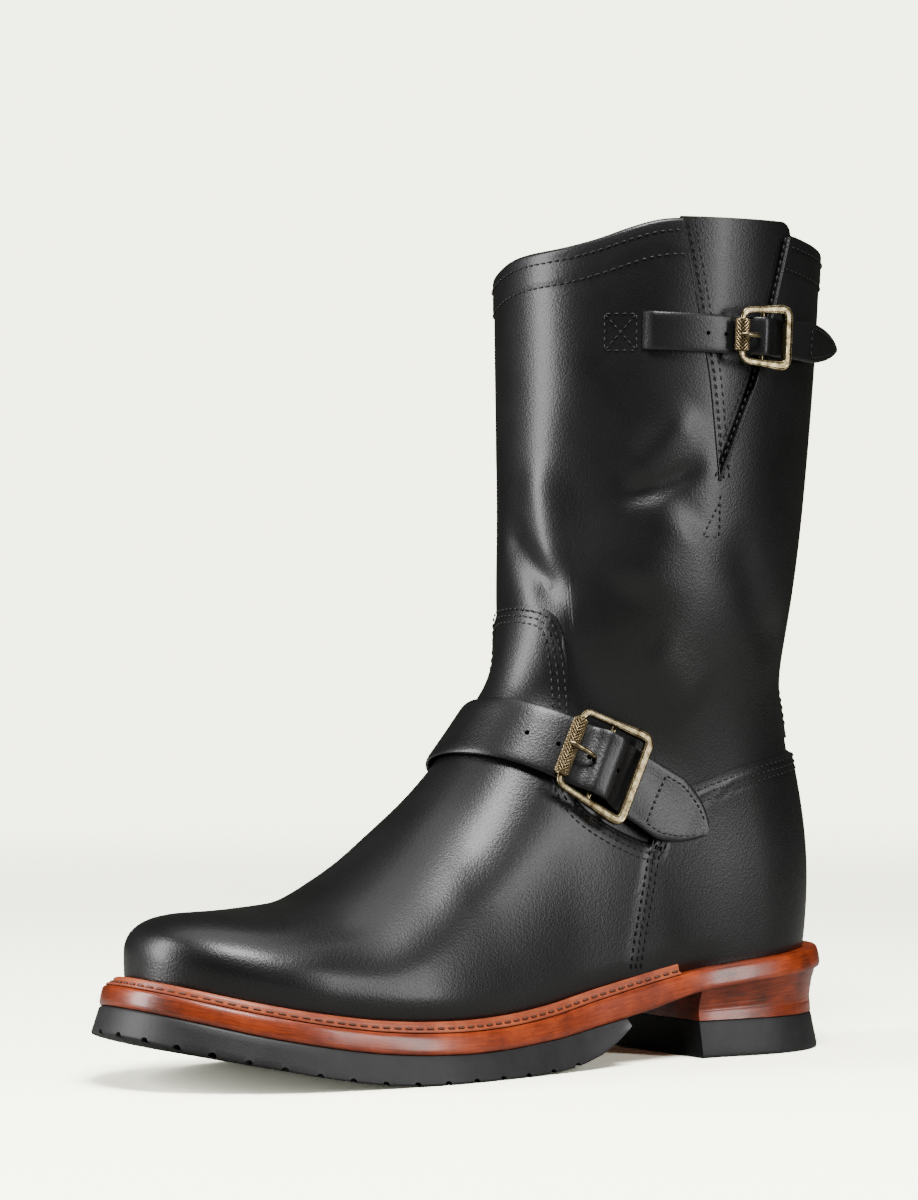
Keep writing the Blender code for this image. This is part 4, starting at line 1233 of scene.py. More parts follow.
def cut_slots(mesh, strap, angles):
    """The slots in the upper that the strap's ends pass through."""
    for angle in angles:
        matrix = turned(*strap_frames(strap, angle))
        matrix @= mathutils.Matrix.Diagonal((SLOT, strap.width + SLOT_ROOM, SLOT_DEPTH, 1))
        bmesh.ops.create_cube(mesh, size=1, matrix=matrix)


upper = piece(make_upper(), "boot_upper", LEATHER, ("upper",))
cutter = slit_prism()
cut_slots(cutter, SHAFT_STRAP, (48.5, 114))
cut_slots(cutter, INSTEP_STRAP, (-95,))
carve(upper, cutter, "FAST")

# Gore, stay and bindings

SIDEWAYS = (0.0, 1.0, 0.0)
BACKWARD = (-1.0, 0.0, 0.0)
SLIT_POINTS = 60

GORE_ROWS = 60
GORE_COLUMNS = 40
# Shares of GORE_LAP that lie under the shaft in front and behind
FRONT_LAP = 0.8
BACK_LAP = 0.5
# The gore's round upper corner, how far its front lap ends below the top, where that step begins
# beyond the slit's edge, its width, and how far the panel bows out in its opening
GORE_CORNER = 7 * MM
GORE_NOTCH = 6 * MM
NOTCH_START = 0.4 * MM
NOTCH_WIDTH = 1.6 * MM
GORE_BOW = 0.8 * MM


def slit_edge(index):
    """Points of the last along the slit's front or back edge, from the apex up to the collar."""
    heights = np.linspace(GORE_SLIT[0][0] * COLLAR_HEIGHT, COLLAR_HEIGHT * 1.01, SLIT_POINTS)
    start = np.column_stack([slit_line(index, heights), np.zeros(SLIT_POINTS), heights])
    points = cast(start, SIDEWAYS)
    return points[heights <= COLLAR_TOP(azimuth_of(points))]


def make_gore():
    """The gore panel behind the slit, round at its back corner and lower in its front lap."""
    bottom = GORE_SLIT[0][0] * COLLAR_HEIGHT - GORE_LAP
    high = COLLAR_HEIGHT + GORE_STAND
    across = np.linspace(0, 1, GORE_COLUMNS)
    climb = np.linspace(0, 1, GORE_ROWS)
    rows = []
    for share in climb:
        front = slit_line(1, bottom + share * (high - bottom)) + GORE_LAP * FRONT_LAP
        back = slit_line(2, bottom + share * (high - bottom)) - GORE_LAP * BACK_LAP
        x = front + (back - front) * across
        corner = np.clip((GORE_CORNER - np.abs(x - back)) / GORE_CORNER, 0, 1)
        top = high - GORE_CORNER * (1 - np.sqrt(1 - corner**2))
        top -= GORE_NOTCH * smooth((x - slit_line(1, COLLAR_HEIGHT) - NOTCH_START) / NOTCH_WIDTH)
        rows.append(np.column_stack([x, np.zeros(GORE_COLUMNS), bottom + share * (top - bottom)]))
    points = cast(np.array(rows), SIDEWAYS)
    normals = outward(points)
    bow = GORE_BOW * np.sin(math.pi * across)[None, :, None] * climb[:, None, None]
    over = points - normals * (WALL + CLEARANCE - bow)
    under = over - normals * GORE
    return wrapped(np.concatenate([over, under[::-1], over[:1]]), around=False)


piece(make_gore(), "gore_panel", LEATHER, ("gore",))


def squared(values, power):
    """Values drawn out from zero, which makes a round section squarer."""
    return np.sign(values) * np.abs(values) ** power


# The dip of a bar's outer face: the share of the half width where it ends, and its edge's breadth
DIP_REACH = 0.72
DIP_EDGE = 0.3


def bar(path, out, half_width, half_height, sides=14, power=2.0, closed=False, mesh=None, scale=None, dip=0.0):
    """A rod along a path of points, flattened towards its out directions."""
    path = np.asarray(path, float)
    out = np.broadcast_to(out, path.shape)
    if closed:
        run = np.roll(path, -1, axis=0) - np.roll(path, 1, axis=0)
    else:
        run = np.gradient(path, axis=0)
    run = unit(run)
    side = unit(np.cross(out, run))
    up = np.cross(run, side)
    turns = np.linspace(0, 2 * math.pi, sides, endpoint=False)
    flat = squared(np.cos(turns), 2 / power)
    tall = squared(np.sin(turns), 2 / power)
    tall = np.where(tall > 0, tall * (1 - dip * smooth((DIP_REACH - np.abs(flat)) / DIP_EDGE)), tall)
    scale = np.ones(len(path)) if scale is None else np.asarray(scale)
    breadth = side[:, None] * (half_width * flat)[None, :, None]
    height = up[:, None] * (half_height * tall)[None, :, None]
    skin = path[:, None] + scale[:, None, None] * (breadth + height)
    if closed:
        skin = np.concatenate([skin, skin[:1]])
    return wrapped(skin, ends=not closed, mesh=mesh)


# The bound edges of the slit: index of the edge, half width and height over the last
BINDINGS = (
    (1, 0.5 * MM, -0.8 * MM),
    (2, 0.9 * MM, -0.4 * MM),
)
BINDING_HALF_HEIGHT = 1.3 * MM


def make_bindings():
    """The folded edges of the slit, in front of and behind the gore."""
    mesh = bmesh.new()
    for index, half_width, lift in BINDINGS:
        line = slit_edge(index)
        normals = outward(line)
        bar(line + normals * lift, normals, half_width, BINDING_HALF_HEIGHT, mesh=mesh)
    return mesh


piece(make_bindings(), "gore_bindings", LEATHER)

STAY_ROWS = 110
STAY_COLUMNS = 25
# How thick the stay is at its edges; the place of its seams across and their width, as shares of
# half its width, and the share of its thickness at them
STAY_EDGE = 0.5 * MM
STAY_SEAM = 0.86
STAY_SEAM_CROWN = 0.77
STAY_SEAM_WIDTH = 0.05


def behind(across, heights):
    """Points of the last behind the ankle, at places across the stay and at heights."""
    across, heights = np.broadcast_arrays(across, heights)
    start = np.stack([np.full(across.shape, RAY_X), across * STAY_WIDTH / 2, heights], axis=-1)
    return cast(start, BACKWARD)


def make_stay():
    """The strip over the back seam, crowned across and drawn in along its two seams."""
    low = LAYER_EDGE[0][1] * ANKLE_HEIGHT + 2 * LAYER
    high = COLLAR_EDGE[0][1] * COLLAR_HEIGHT - 2 * LAYER
    across = np.linspace(-1, 1, STAY_COLUMNS)
    points = behind(across, np.linspace(low, high, STAY_ROWS)[:, None])
    normals = outward(points)
    crown = (1 - np.abs(across) ** 6) ** 0.5
    seam = np.exp(-(((np.abs(across) - STAY_SEAM) / STAY_SEAM_WIDTH) ** 2))
    under = folds(points) + CLEARANCE
    over = under + STAY_EDGE + STAY * crown - QUILT * seam
    over, under = (points + normals * lift[..., None] for lift in (over, under))
    return wrapped(np.concatenate([over, under[:, ::-1]], axis=1))


piece(make_stay(), "heel_stay", LEATHER, ("back_stay",))

# Straps

# A strap's faces: degrees from row to row, points round its section and how square that is across
# and upright; the degrees over which an end sinks into its slot
STRAP_STEP = 1.5
STRAP_SIDES = 36
STRAP_SQUARE = 0.35
STRAP_ROUND = 0.7
SINK_ANGLE = 4
HOLE_DEPTH = 5 * MM
HOLE_SIDES = 20

Fastening = collections.namedtuple("Fastening", "node name strap roller bar slot sunk chape_sunk holes hole")
FASTENINGS = (
    # name in the CAD, name here, strap, angles of the roller, the frame's far bar and the chape's
    # slot, how far the strap's start and the chape's end sink in, the holes' angles and their radius
    Fastening("shaft", "gore", SHAFT_STRAP, SHAFT_ROLLER, SHAFT_BAR, SHAFT_SLOT, 2.5 * MM, 2.0 * MM,
              (72.5, 80.5, 90.5), 0.8 * MM),
    Fastening("instep", "ankle", INSTEP_STRAP, INSTEP_ROLLER, INSTEP_BAR, INSTEP_SLOT, 3.5 * MM, 0.0,
              (22, 33, 45, 58), 0.9 * MM),
)


def make_strap(strap, rows, thickness, sunk_start, sunk_end):
    """A strap with rounded edges, wrapped round the last at the lifts of its rows."""
    marks = column(rows, 0)
    angles = np.linspace(marks[0], marks[-1], int((marks[-1] - marks[0]) / STRAP_STEP) + 1)
    around = np.linspace(0, 2 * math.pi, STRAP_SIDES, endpoint=False)
    flat = squared(np.cos(around), STRAP_SQUARE)
    tall = squared(np.sin(around), STRAP_ROUND)
    lift = monotone_spline(marks, column(rows, 1), angles)
    lift -= sunk_start * (1 - smooth((angles - marks[0]) / SINK_ANGLE))
    lift -= sunk_end * (1 - smooth((marks[-1] - angles) / SINK_ANGLE))
    half = monotone_spline(marks, column(rows, 2), angles) * strap.width / 2
    normals = strap_frames(strap, angles)[3]
    surface = strap_points(strap, angles[:, None], half[:, None] * flat)
    heights = lift[:, None] + thickness / 2 * (1 + tall)
    return wrapped(surface + normals[:, None] * heights[..., None])


def strap_holes(fastening):
    """Round cutters through a strap."""
    mesh = bmesh.new()
    strap, radius = fastening.strap, fastening.hole
    for angle in fastening.holes:
        spot, _, _, out = strap_frames(strap, angle)
        matrix = mathutils.Vector(out).to_track_quat("Z", "Y").to_matrix().to_4x4()
        matrix.translation = spot + out * strap_values(strap, angle, 1)
        bmesh.ops.create_cone(mesh, cap_ends=True, segments=HOLE_SIDES, radius1=radius, radius2=radius,
                              depth=HOLE_DEPTH, matrix=matrix)
    return mesh


for one in FASTENINGS:
    mesh = make_strap(one.strap, one.strap.rows, STRAP, one.sunk, 0.0)
    made = piece(mesh, f"{one.name}_strap", LEATHER, (f"{one.node}_strap",))
    carve(made, strap_holes(one))
for one in FASTENINGS:
    rows = [(angle, CHAPE_LIFT, CHAPE_SHARE) for angle in ((one.roller + one.bar) / 2, one.slot)]
    mesh = make_strap(one.strap, rows, CHAPE, 0.0, one.chape_sunk)
    piece(mesh, f"{one.name}_chape", LEATHER, (f"{one.node}_chape",))


# Buckles

# The frame's bar in shares of BAR, how square it is, its dip, and how much it swells away from the roller
FRAME_HALF_WIDTH = 0.95
FRAME_HALF_HEIGHT = 0.8
FRAME_SIDES = 28
FRAME_SQUARE = 3.4
FRAME_DIP = 0.35
FRAME_SWELL = 0.45
CORNER_STEPS = 9

# The roller's knurl: helices each way, its faces, the depth under ROLLER, the height of its points
# and how far its ends draw in, over this share of its length
KNURL_STARTS = 12
KNURL_SIDES = 144
KNURL_ROWS = 120
KNURL_DEPTH = 0.45 * MM
KNURL_HEIGHT = 0.55 * MM
ROLLER_ROUND = 0.3 * MM
ROLLER_END = 0.1


def make_frame(buckle):
    """The cast frame: a flat rounded bar, wide on the side away from the roller, and its centre bar."""
    strap, spot, run, across, out, half = buckle
    narrow, wide = (share * strap.width + BAR for share in (FRAME_NARROW, FRAME_WIDE))
    corners = [np.array(corner) for corner in ((half, -wide), (half, wide), (-half, narrow), (-half, -narrow))]
    path = []
    for i, corner in enumerate(corners):
        after = corners[(i + 1) % 4]
        to_before, to_after = unit(corners[i - 1] - corner), unit(after - corner)
        for t in np.linspace(0, 1, CORNER_STEPS):
            path.append(corner + FRAME_CORNER * (to_before * (1 - t) ** 2 + to_after * t**2))
        # Points along the straight side to the next corner
        for t in (0.25, 0.5, 0.75):
            path.append((corner + to_after * FRAME_CORNER) * (1 - t) + (after - to_after * FRAME_CORNER) * t)
    points = [spot + run * ahead + across * aside for ahead, aside in path]
    # The swell begins a little on the roller's side of the middle and is full at the far bar
    scale = [1 + FRAME_SWELL * smooth((ahead / half + 0.4) / 1.2) for ahead, _ in path]
    mesh = bar(points, out, FRAME_HALF_WIDTH * BAR, FRAME_HALF_HEIGHT * BAR, FRAME_SIDES, FRAME_SQUARE,
               closed=True, scale=scale, dip=FRAME_DIP)
    reach = across * (narrow + wide) / 2
    low = spot - out * (BAR_DROP * BAR)
    bar([low - reach, low, low + reach], out, CENTRE_BAR * BAR, CENTRE_BAR * BAR, mesh=mesh)
    return mesh


def make_roller(buckle):
    """The knurled tube over the frame's narrow side: two crossing sets of helical cuts."""
    strap, spot, run, across, out, half = buckle
    axis = spot - run * half
    length = FRAME_NARROW * strap.width - FRAME_CORNER / 2
    turn = KNURL_STARTS * np.linspace(0, 2 * math.pi, KNURL_SIDES, endpoint=False)
    share = np.linspace(-1, 1, KNURL_ROWS)[:, None]
    inward = smooth((1 - np.abs(share)) / ROLLER_END)
    lead = KNURL_STARTS * length / ROLLER * share
    cuts = np.maximum(np.abs(np.sin((turn + lead) / 2)), np.abs(np.sin((turn - lead) / 2)))
    radius = ROLLER - KNURL_DEPTH + KNURL_HEIGHT * inward * cuts**2 - ROLLER_ROUND * (1 - inward)
    turn = turn[:, None] / KNURL_STARTS
    spokes = run * np.cos(turn) + out * np.sin(turn)
    return wrapped(axis + across * length * share[..., None] + radius[..., None] * spokes)


def make_prong(buckle):
    """The prong: from the centre bar through its hole, bent over the roller."""
    _, spot, run, across, out, half = buckle
    axis = spot - run * half
    over = axis + out * (ROLLER + PRONG * 1.2)
    knots = (
        spot - run * half * 0.30 + out * 0.4 * MM,
        spot - run * half * 0.45 + out * (ROLLER + 0.2 * MM),
        axis + run * ROLLER + out * (ROLLER + PRONG),
        over,
        over - run * ROLLER * 0.95 - out * 0.8 * MM,
    )
    # The rod is even but for its last six points, which taper to the tip
    scale = np.concatenate([np.ones(20), np.linspace(1, 0.6, 5), [0.3]])
    return bar(through(knots, len(scale)), across, PRONG, PRONG * 1.1, sides=16, scale=scale)


for one in FASTENINGS:
    buckle = buckle_on(one.strap, one.roller, one.bar)
    for form, make, metal in (
        ("frame", make_frame, BRASS),
        ("roller", make_roller, KNURLED_BRASS),
        ("prong", make_prong, BRASS),
    ):
        name = f"{one.name}_buckle_{form}"
        piece(make(buckle), name, metal, (f"{one.node}_buckle_{form}",))


# Sole

LOOP_STEPS = 190
# Shares of the way from a layer's middle line to its edge where its faces have rings
FACE_STEPS = np.array([0.0, 0.35, 0.7, 0.92])[:, None, None]
# Shares of the way up a layer's edge where it has rings, the share that its rounded corners take
# and how far these draw in
EDGE_STEPS = (0.0, 0.04, 0.12, 0.3, 0.5, 0.7, 0.88, 0.96, 1.0)
RUBBER_STEPS = (0.0, 0.04, 0.08, 0.3, 0.5, 0.7, 0.92, 0.96, 1.0)
EDGE_CORNER = 0.5 * MM


def lie_along_sole(made):
    """Gives a sole piece the place that its fibres follow: height is taken from the midsole's face."""
    data = made.data
    points = np.empty(len(data.vertices) * 3)
    data.vertices.foreach_get("co", points)
    points = points.reshape(-1, 3)
    points[:, 2] -= sole_top(points[:, 0])
    lie = data.attributes.new("along_sole", "FLOAT_VECTOR", "POINT")
    lie.data.foreach_set("vector", points.ravel())
    return made


def middle_line(ring):
    """For each point of a ring, the middle between the two sides at its place along the boot."""
    _, which = np.unique(ring[:, 0], return_inverse=True)
    return (np.bincount(which, ring[:, 1]) / np.bincount(which))[which]


def slab(levels, front, back):
    """A solid sole layer: rings of its edge from below to above, drawn in to the middle line."""
    rings = []
    for outline, height in levels:
        flat = loop_points(outline, front, back, LOOP_STEPS)
        rings.append(np.column_stack([flat, height(flat[:, 0])]))
    bands = []
    for ring in (rings[0], rings[-1]):
        center = ring.copy()
        center[:, 1] = middle_line(ring)
        bands.append(center + (ring - center) * FACE_STEPS)
    return wrapped(np.concatenate([bands[0], rings, bands[1][::-1]]), ends=False)


def between(low, high, share):
    """The level at a share of the way from one height to another."""
    return lambda x: low(x) * (1 - share) + high(x) * share


def rounded_in(share, corner_share, corner):
    """How far the rounded corners of an edge draw it in at a share of its height."""
    return corner * max(0.0, 1 - min(share, 1 - share) / corner_share) ** 2


def lip_levels(low_reach, high_reach, low, high, steps, bulge=0.0):
    """Levels of a worked edge: small rounded corners below and above and a face between them."""
    levels = []
    for share in steps:
        reach = low_reach + (high_reach - low_reach) * share + bulge * math.sin(math.pi * share)
        reach -= rounded_in(share, steps[2], EDGE_CORNER)
        levels.append((edge_outline(reach), between(low, high, share)))
    return levels


def under_midsole(x):
    """Height of the rubber's upper face."""
    return sole_under(x) - CLEARANCE


midsole = slab(lip_levels(MIDSOLE_FLARE, 0.4 * MM, sole_under, sole_top, EDGE_STEPS, 0.3 * MM), None, None)
lie_along_sole(piece(midsole, "tan_midsole", EDGE_TAN, ("midsole",)))
rubber = lip_levels(MIDSOLE_FLARE + RUBBER_FLARE, MIDSOLE_FLARE, tread, under_midsole, RUBBER_STEPS)
rubber = slab(rubber, None, place(RUBBER_END / LENGTH))
outsole = piece(rubber, "rubber_half_sole", RUBBER, ("outsole",))

LUG_SIDES = 16
# Height of a lug cut's round section against LUG_DEPTH, so that it opens fully through the edge
LUG_STRETCH = 1.1


def lug_cuts():
    """Round grooves across the rubber's ground edge, which leave its lugs."""
    mesh = bmesh.new()
    for side in both_sides(edge_outline(MIDSOLE_FLARE + RUBBER_FLARE)):
        lengths = run_lengths(side)
        end = np.interp(-place(RUBBER_END / LENGTH), -side[:, 0], lengths) - 2 * LUG_PITCH
        for mark in np.arange(LUG_PITCH / 2, end, LUG_PITCH):
            spot, ahead = (
                np.array([np.interp(at, lengths, side[:, axis]) for axis in (0, 1)]) for at in (mark, mark + MM)
            )
            run = unit(ahead - spot)
            ground = float(tread(spot[0]))
            slant = float(tread(spot[0] + run[0] * MM) - ground) / MM
            matrix = mathutils.Matrix.Translation((*spot, ground))
            matrix @= mathutils.Matrix.Rotation(math.atan2(run[1], run[0]), 4, "Z")
            matrix @= mathutils.Matrix.Rotation(-math.atan(slant), 4, "Y")
            matrix @= mathutils.Matrix.Rotation(math.pi / 2, 4, "X")
            matrix @= mathutils.Matrix.Diagonal((1, LUG_DEPTH / (LUG_GAP / 2) * LUG_STRETCH, 1, 1))
            bmesh.ops.create_cone(mesh, cap_ends=True, segments=LUG_SIDES, radius1=LUG_GAP / 2,
                                  radius2=LUG_GAP / 2, depth=2 * LUG_REACH, matrix=matrix)
    return mesh


carve(outsole, lug_cuts())

WELT_SECTION = (
    # reach out of the feather line and height over the midsole, in mm
    (0.6, 0.1), (0.7, 1.4), (1.6, 3.0), (2.2, 3.5), (3.0, 3.6), (3.7, 3.1), (4.1, 2.2), (4.4, 1.2),
    (4.8, 0.9), (5.4, 0.85), (6.0, 0.9), (6.3, 0.7), (6.4, 0.3), (6.3, 0.05), (4.0, 0.02), (2.0, 0.02),
)


def welt_line(reach, lift):
    """A line of the welt from the medial waist round the toe to the lateral waist."""
    scale = REACH(along(OUTLINE[:, 0])) / EDGE_WIDTH
    lateral, medial = side_runs(offset_outline(reach * scale), None, place(WELT_END / LENGTH), LOOP_STEPS)
    flat = np.concatenate([medial[::-1], lateral[1:]])
    return np.column_stack([flat, sole_top(flat[:, 0]) + CLEARANCE + lift])


def make_welt():
    """The welt with its raised lip, as its section led round the forepart."""
    skin = np.array([welt_line(reach * MM, lift * MM) for reach, lift in WELT_SECTION])
    return wrapped(skin.transpose(1, 0, 2))


lie_along_sole(piece(make_welt(), "tan_welt", WELT_TAN, ("welt",)))
# The welt's stitch row lies in the groove beside its lip
WELT_ROW = (4.75 * MM, 0.95 * MM)
WELT_PITCH = 4.4 * MM
WELT_THREAD = 0.55 * MM
WELT_SINK = 0.2
welt_stitches = bmesh.new()
groove = welt_line(*WELT_ROW)
upward = np.broadcast_to((0.0, 0.0, 1.0), groove.shape)
sew(welt_stitches, groove, upward, WELT_PITCH, WELT_THREAD, WELT_SINK)
piece(welt_stitches, "welt_stitches", BROWN_THREAD)

# The stack's leather lifts, the rings of each, and the groove between two: its depth and, as a
# share of a lift, its width
HEEL_LAYERS = 4
LAYER_RINGS = 8
JOINT_DEPTH = 0.12 * MM
JOINT_WIDTH = 0.08
# Rings of the rubber top lift, the share that its rounded corners take and how far they draw in
LIFT_STEPS = (0.0, 0.03, 0.1, 0.3, 0.6, 0.9, 0.97, 1.0)
LIFT_CORNER_SHARE = 0.1
LIFT_CORNER = 0.4 * MM


def heel_levels():
    """The stacked heel's edge: a waist, and a fine groove between its leather lifts."""
    levels = []
    for share in np.linspace(0, 1, LAYER_RINGS * HEEL_LAYERS + 1):
        waist = np.interp(share, column(HEEL_SECTION, 0), column(HEEL_SECTION, 1)) * HEEL_WAIST
        joint = min(abs(share - k / HEEL_LAYERS) for k in range(1, HEEL_LAYERS)) * HEEL_LAYERS
        groove = JOINT_DEPTH * math.exp(-((joint / JOINT_WIDTH) ** 2))
        levels.append((edge_outline(-waist - groove), heel_height(share)))
    return levels


heel = slab(heel_levels(), place(BREAST / LENGTH), None)
lie_along_sole(piece(heel, "stacked_heel", EDGE_TAN, ("heel_stack",)))


def lift_levels():
    """The rubber top lift's edge, from its flare at the ground up to the stack's lower edge."""
    reaches = HEEL_FLARE, (HEEL_FLARE - HEEL_WAIST) * LIFT_WAIST, -HEEL_WAIST * HEEL_SECTION[0][1]
    levels = []
    for share in LIFT_STEPS:
        reach = np.interp(share, (0, 0.5, 1), reaches) - rounded_in(share, LIFT_CORNER_SHARE, LIFT_CORNER)
        level = share * (LIFT - CLEARANCE)
        levels.append((edge_outline(reach), lambda x, level=level: np.full(x.shape, level)))
    return levels


top_lift = slab(lift_levels(), place(BREAST / LENGTH), None)
piece(top_lift, "rubber_top_lift", RUBBER, ("heel_top_lift",))

# The insole is the CAD's own, in plain undyed leather
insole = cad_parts["insole"].data.materials
insole.clear()
insole.append(tan_edge("natural_veg_tan", "#8a6a48", "#b28d66", "#c9a680", 0.6, 0.0))

# Seams of the upper

STITCH = 2.9 * MM
THREAD = 0.36 * MM
SIDE_SEAM_ROWS = (1.6 * MM, 4.0 * MM, 6.4 * MM)
# Rows under the collar: depth below it and height over the last
TOPLINE_ROWS = (
    (TOPLINE_ROW, 0.5 * MM),
    (11.8 * MM, 0.1 * MM),
)
# Rows beside the slit: index of its edge and distance, positive to the left of the edge's run
SLIT_STITCH_ROWS = ((1, -2.0 * MM), (1, -4.4 * MM), (2, 2.2 * MM))
# Straight rows from corner to corner, as azimuth in degrees and height in mm: the triangle at the
# gore's apex, then the box with its cross that holds the shaft strap
CORNER_ROWS = (
    ((94.2, 206), (94.2, 203), (86, 190.4), (94.2, 190.0), (94.2, 203)),
    ((42.5, 270.4), (55.6, 270.4), (55.6, 257.2), (42.5, 257.2), (42.5, 270.4)),
    ((42.5, 270.4), (55.6, 257.2)),
    ((42.5, 257.2), (55.6, 270.4)),
)
CORNER_STITCH = 2.4 * MM
CORNER_THREAD = 0.32 * MM
TIP_STITCH = 2.3 * MM
TIP_THREAD = 0.3 * MM
STAY_END = 6 * MM


def sew_on(mesh, line, height, pitch=STITCH, radius=THREAD):
    """Stitches on the upper's wall at a height over the last."""
    normals = outward(line)
    lift = folds(line) + height
    sew(mesh, line + normals * np.reshape(lift, (-1, 1)), normals, pitch, radius)


def sew_layers(mesh):
    """The rows along the vamp's and the counter's upper edge and behind the counter's front edge."""
    for row in STITCH_ROWS:
        line = beside(LAYER_EDGE_LINE, -row)
        sew_on(mesh, line, LAYER + SEAM_STEP * behind_seam(line) - QUILT)
    for side in (1, -1):
        for row in SIDE_SEAM_ROWS:
            # The first points lie in the rows along the upper edge
            sew_on(mesh, beside(side_seam(side), side * row)[6:], LAYER + SEAM_STEP)


def sew_topline(mesh):
    """The rows under the collar, left out where the gore lies."""
    turns = np.linspace(-180, 180, 500)
    for drop, height in TOPLINE_ROWS:
        line = level_point(turns, COLLAR_TOP(turns) - drop)
        x, y, z = line.T
        in_gore = (y > 0) & (x < slit_line(1, z) + MM) & (x > slit_line(2, z) - MM)
        breaks = np.nonzero(np.diff(in_gore.astype(int)))[0] + 1
        for stretch, gap in zip(np.split(line, breaks), np.split(in_gore, breaks)):
            if len(stretch) > 8 and not gap[0]:
                sew_on(mesh, stretch, height)


def sew_corners(mesh):
    """The straight rows that hold the gore's apex and the shaft strap's start."""
    for corners in CORNER_ROWS:
        spots = [level_point(azimuth, height * MM) for azimuth, height in corners]
        for low, high in zip(spots, spots[1:]):
            line = on_last(low + (high - low) * np.linspace(0, 1, 30)[:, None])
            sew_on(mesh, line, 0.0, CORNER_STITCH, CORNER_THREAD)


def sew_stay(mesh):
    """The two rows of the back stay."""
    low = 0.84 * ANKLE_HEIGHT + STAY_END
    high = COLLAR_EDGE[0][1] * COLLAR_HEIGHT - STAY_END
    for side in (-1, 1):
        line = behind(side * STAY_SEAM, np.linspace(low, high, 200))
        sew_on(mesh, line, CLEARANCE + STAY_EDGE + STAY_SEAM_CROWN * STAY - QUILT)


def sew_tip(mesh, strap, start, end, inset):
    """The stitched border of a strap's tip."""
    angles = np.linspace(start, end, 40)
    out = strap_frames(strap, angles)[3]
    half = np.clip(strap_values(strap, angles, 2) * strap.width / 2 - inset, 0, None)
    lift = strap_values(strap, angles, 1) + STRAP * 0.98
    sides = [strap_points(strap, angles, side * half) + out * lift[:, None] for side in (1, -1)]
    for line in sides:
        sew(mesh, line, out, TIP_STITCH, TIP_THREAD)
    cross = sides[0][0] + (sides[1][0] - sides[0][0]) * np.linspace(0, 1, 20)[:, None]
    sew(mesh, cross, np.broadcast_to(out[0], cross.shape), TIP_STITCH, TIP_THREAD)


seams = bmesh.new()
sew_layers(seams)
sew_topline(seams)
for index, distance in SLIT_STITCH_ROWS:
    sew_on(seams, beside(slit_edge(index), distance), 0.0)
sew_corners(seams)
sew_stay(seams)
sew_tip(seams, SHAFT_STRAP, 126, 149, 2.0 * MM)
sew_tip(seams, INSTEP_STRAP, 88, 118, 2.6 * MM)
piece(seams, "upper_stitches", BLACK_THREAD)

# Studio

# The camera sees the paper lit up as in a high-key photo; the boot mirrors it far dimmer
FLOOR_TONE = "#f2f2de"
FLOOR_GAIN = 3.4
FLOOR_RADIUS = 9.0
# Distances from the boot between which the floor melts into the backdrop
FADE_START = 0.45
FADE_END = 1.7
BACKDROP = "#f2f2dc"
BACKDROP_LIGHT = 5.6
ROOM_LIGHT = 0.05


def make_floor():
    """A pale floor that melts into the backdrop's tone away from the boot."""
    mesh = bmesh.new()
    bmesh.ops.create_circle(mesh, cap_ends=True, segments=96, radius=FLOOR_RADIUS)
    bmesh.ops.translate(mesh, verts=mesh.verts, vec=(0, 0, -0.2 * MM))
    made = put("studio_floor", settled(mesh, "studio_floor"))
    paper, tree, shader = finish("matt_paper", "#8a8a86", 0.9, specular=0.1)
    away = node(tree, "ShaderNodeVectorMath", {"operation": "LENGTH"}, i0=object_place(tree))
    fade = node(tree, "ShaderNodeMapRange", {"interpolation_type": "SMOOTHSTEP"}, Value=away.outputs["Value"],
                From_Min=FADE_START, From_Max=FADE_END)
    bright = node(tree, "ShaderNodeBsdfDiffuse", Color=[FLOOR_GAIN * value for value in hex_color(FLOOR_TONE)])
    seen = node(tree, "ShaderNodeLightPath").outputs["Is Camera Ray"]
    side = node(tree, "ShaderNodeMixShader", Fac=seen, i1=shader.outputs["BSDF"], i2=bright.outputs["BSDF"])
    clear = node(tree, "ShaderNodeBsdfTransparent")
    mix = node(tree, "ShaderNodeMixShader", Fac=fade.outputs["Result"], i1=side.outputs["Shader"],
               i2=clear.outputs["BSDF"])
    tree.links.new(mix.outputs["Shader"], tree.nodes["Material Output"].inputs["Surface"])
    made.data.materials.append(paper)


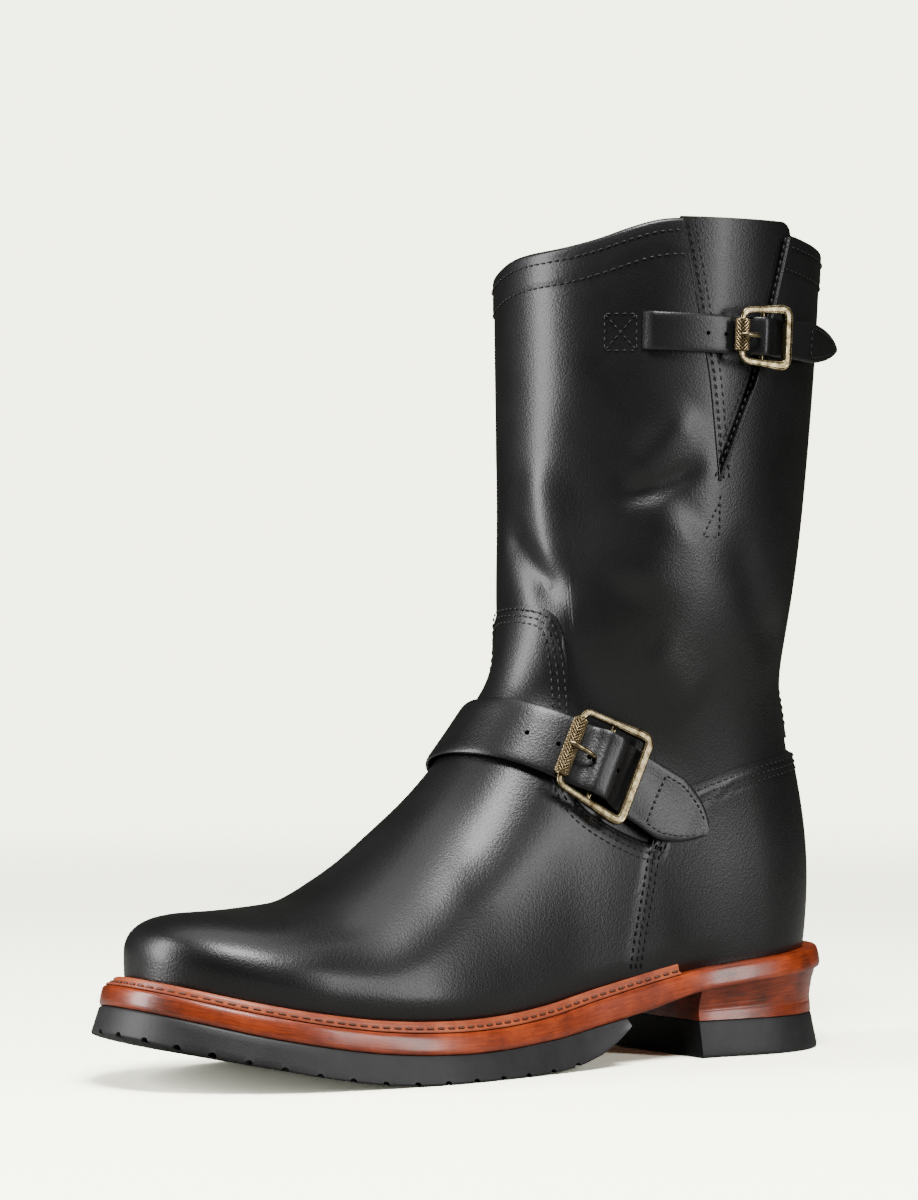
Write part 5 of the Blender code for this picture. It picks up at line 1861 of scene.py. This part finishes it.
def make_backdrop():
    """A backdrop that is bright to the camera and dim as a light on the boot."""
    world = bpy.data.worlds.new("studio")
    world.use_nodes = True
    tree = world.node_tree
    sky = tree.nodes["Background"]
    sky.inputs["Color"].default_value = hex_color(BACKDROP)
    seen = node(tree, "ShaderNodeLightPath").outputs["Is Camera Ray"]
    level = node(tree, "ShaderNodeMapRange", Value=seen, To_Min=ROOM_LIGHT, To_Max=BACKDROP_LIGHT)
    tree.links.new(level.outputs["Result"], sky.inputs["Strength"])
    bpy.context.scene.world = world


make_floor()
make_backdrop()

# Soft boxes: azimuth and elevation seen from the boot, distance, width, height and watts
AIM = mathutils.Vector((0.06, 0.0, 0.14))
LIGHTS = (
    # name, azimuth, elevation, distance, across, tall, watts
    ("toe_side_strip", -22, 12, 1.5, 0.50, 1.5, 36),
    ("overhead_box", 66, 58, 1.5, 0.7, 0.5, 36),
    ("heel_side_strip", 116, 12, 1.5, 0.22, 1.0, 10),
    ("ceiling", 0, 90, 2.4, 2.6, 2.6, 34),
)
for name, turn, rise, away, across, tall, watts in LIGHTS:
    lamp = bpy.data.lights.new(name, "AREA")
    lamp.shape = "RECTANGLE"
    lamp.size = across
    lamp.size_y = tall
    lamp.energy = watts
    holder = put(name, lamp)
    turn, rise = math.radians(turn), math.radians(rise)
    flat = math.cos(rise)
    direction = mathutils.Vector((math.cos(turn) * flat, math.sin(turn) * flat, math.sin(rise)))
    holder.location = AIM + away * direction
    holder.rotation_euler = (AIM - holder.location).to_track_quat("-Z", "Y").to_euler()


# The camera that was fitted to the photo: its place, the way it looks and its focal length in mm
EYE = (0.9941, 1.2853, 0.16735)
LOOK = (-0.5630, -0.8264, 0.0)
LENS = 168.8
eye = bpy.data.cameras.new("photo_view")
eye.sensor_fit = "HORIZONTAL"
eye.sensor_width = 36.0
eye.lens = LENS
camera = put("photo_view", eye)
camera.location = EYE
camera.rotation_euler = mathutils.Vector(LOOK).to_track_quat("-Z", "Y").to_euler()
bpy.context.scene.camera = camera
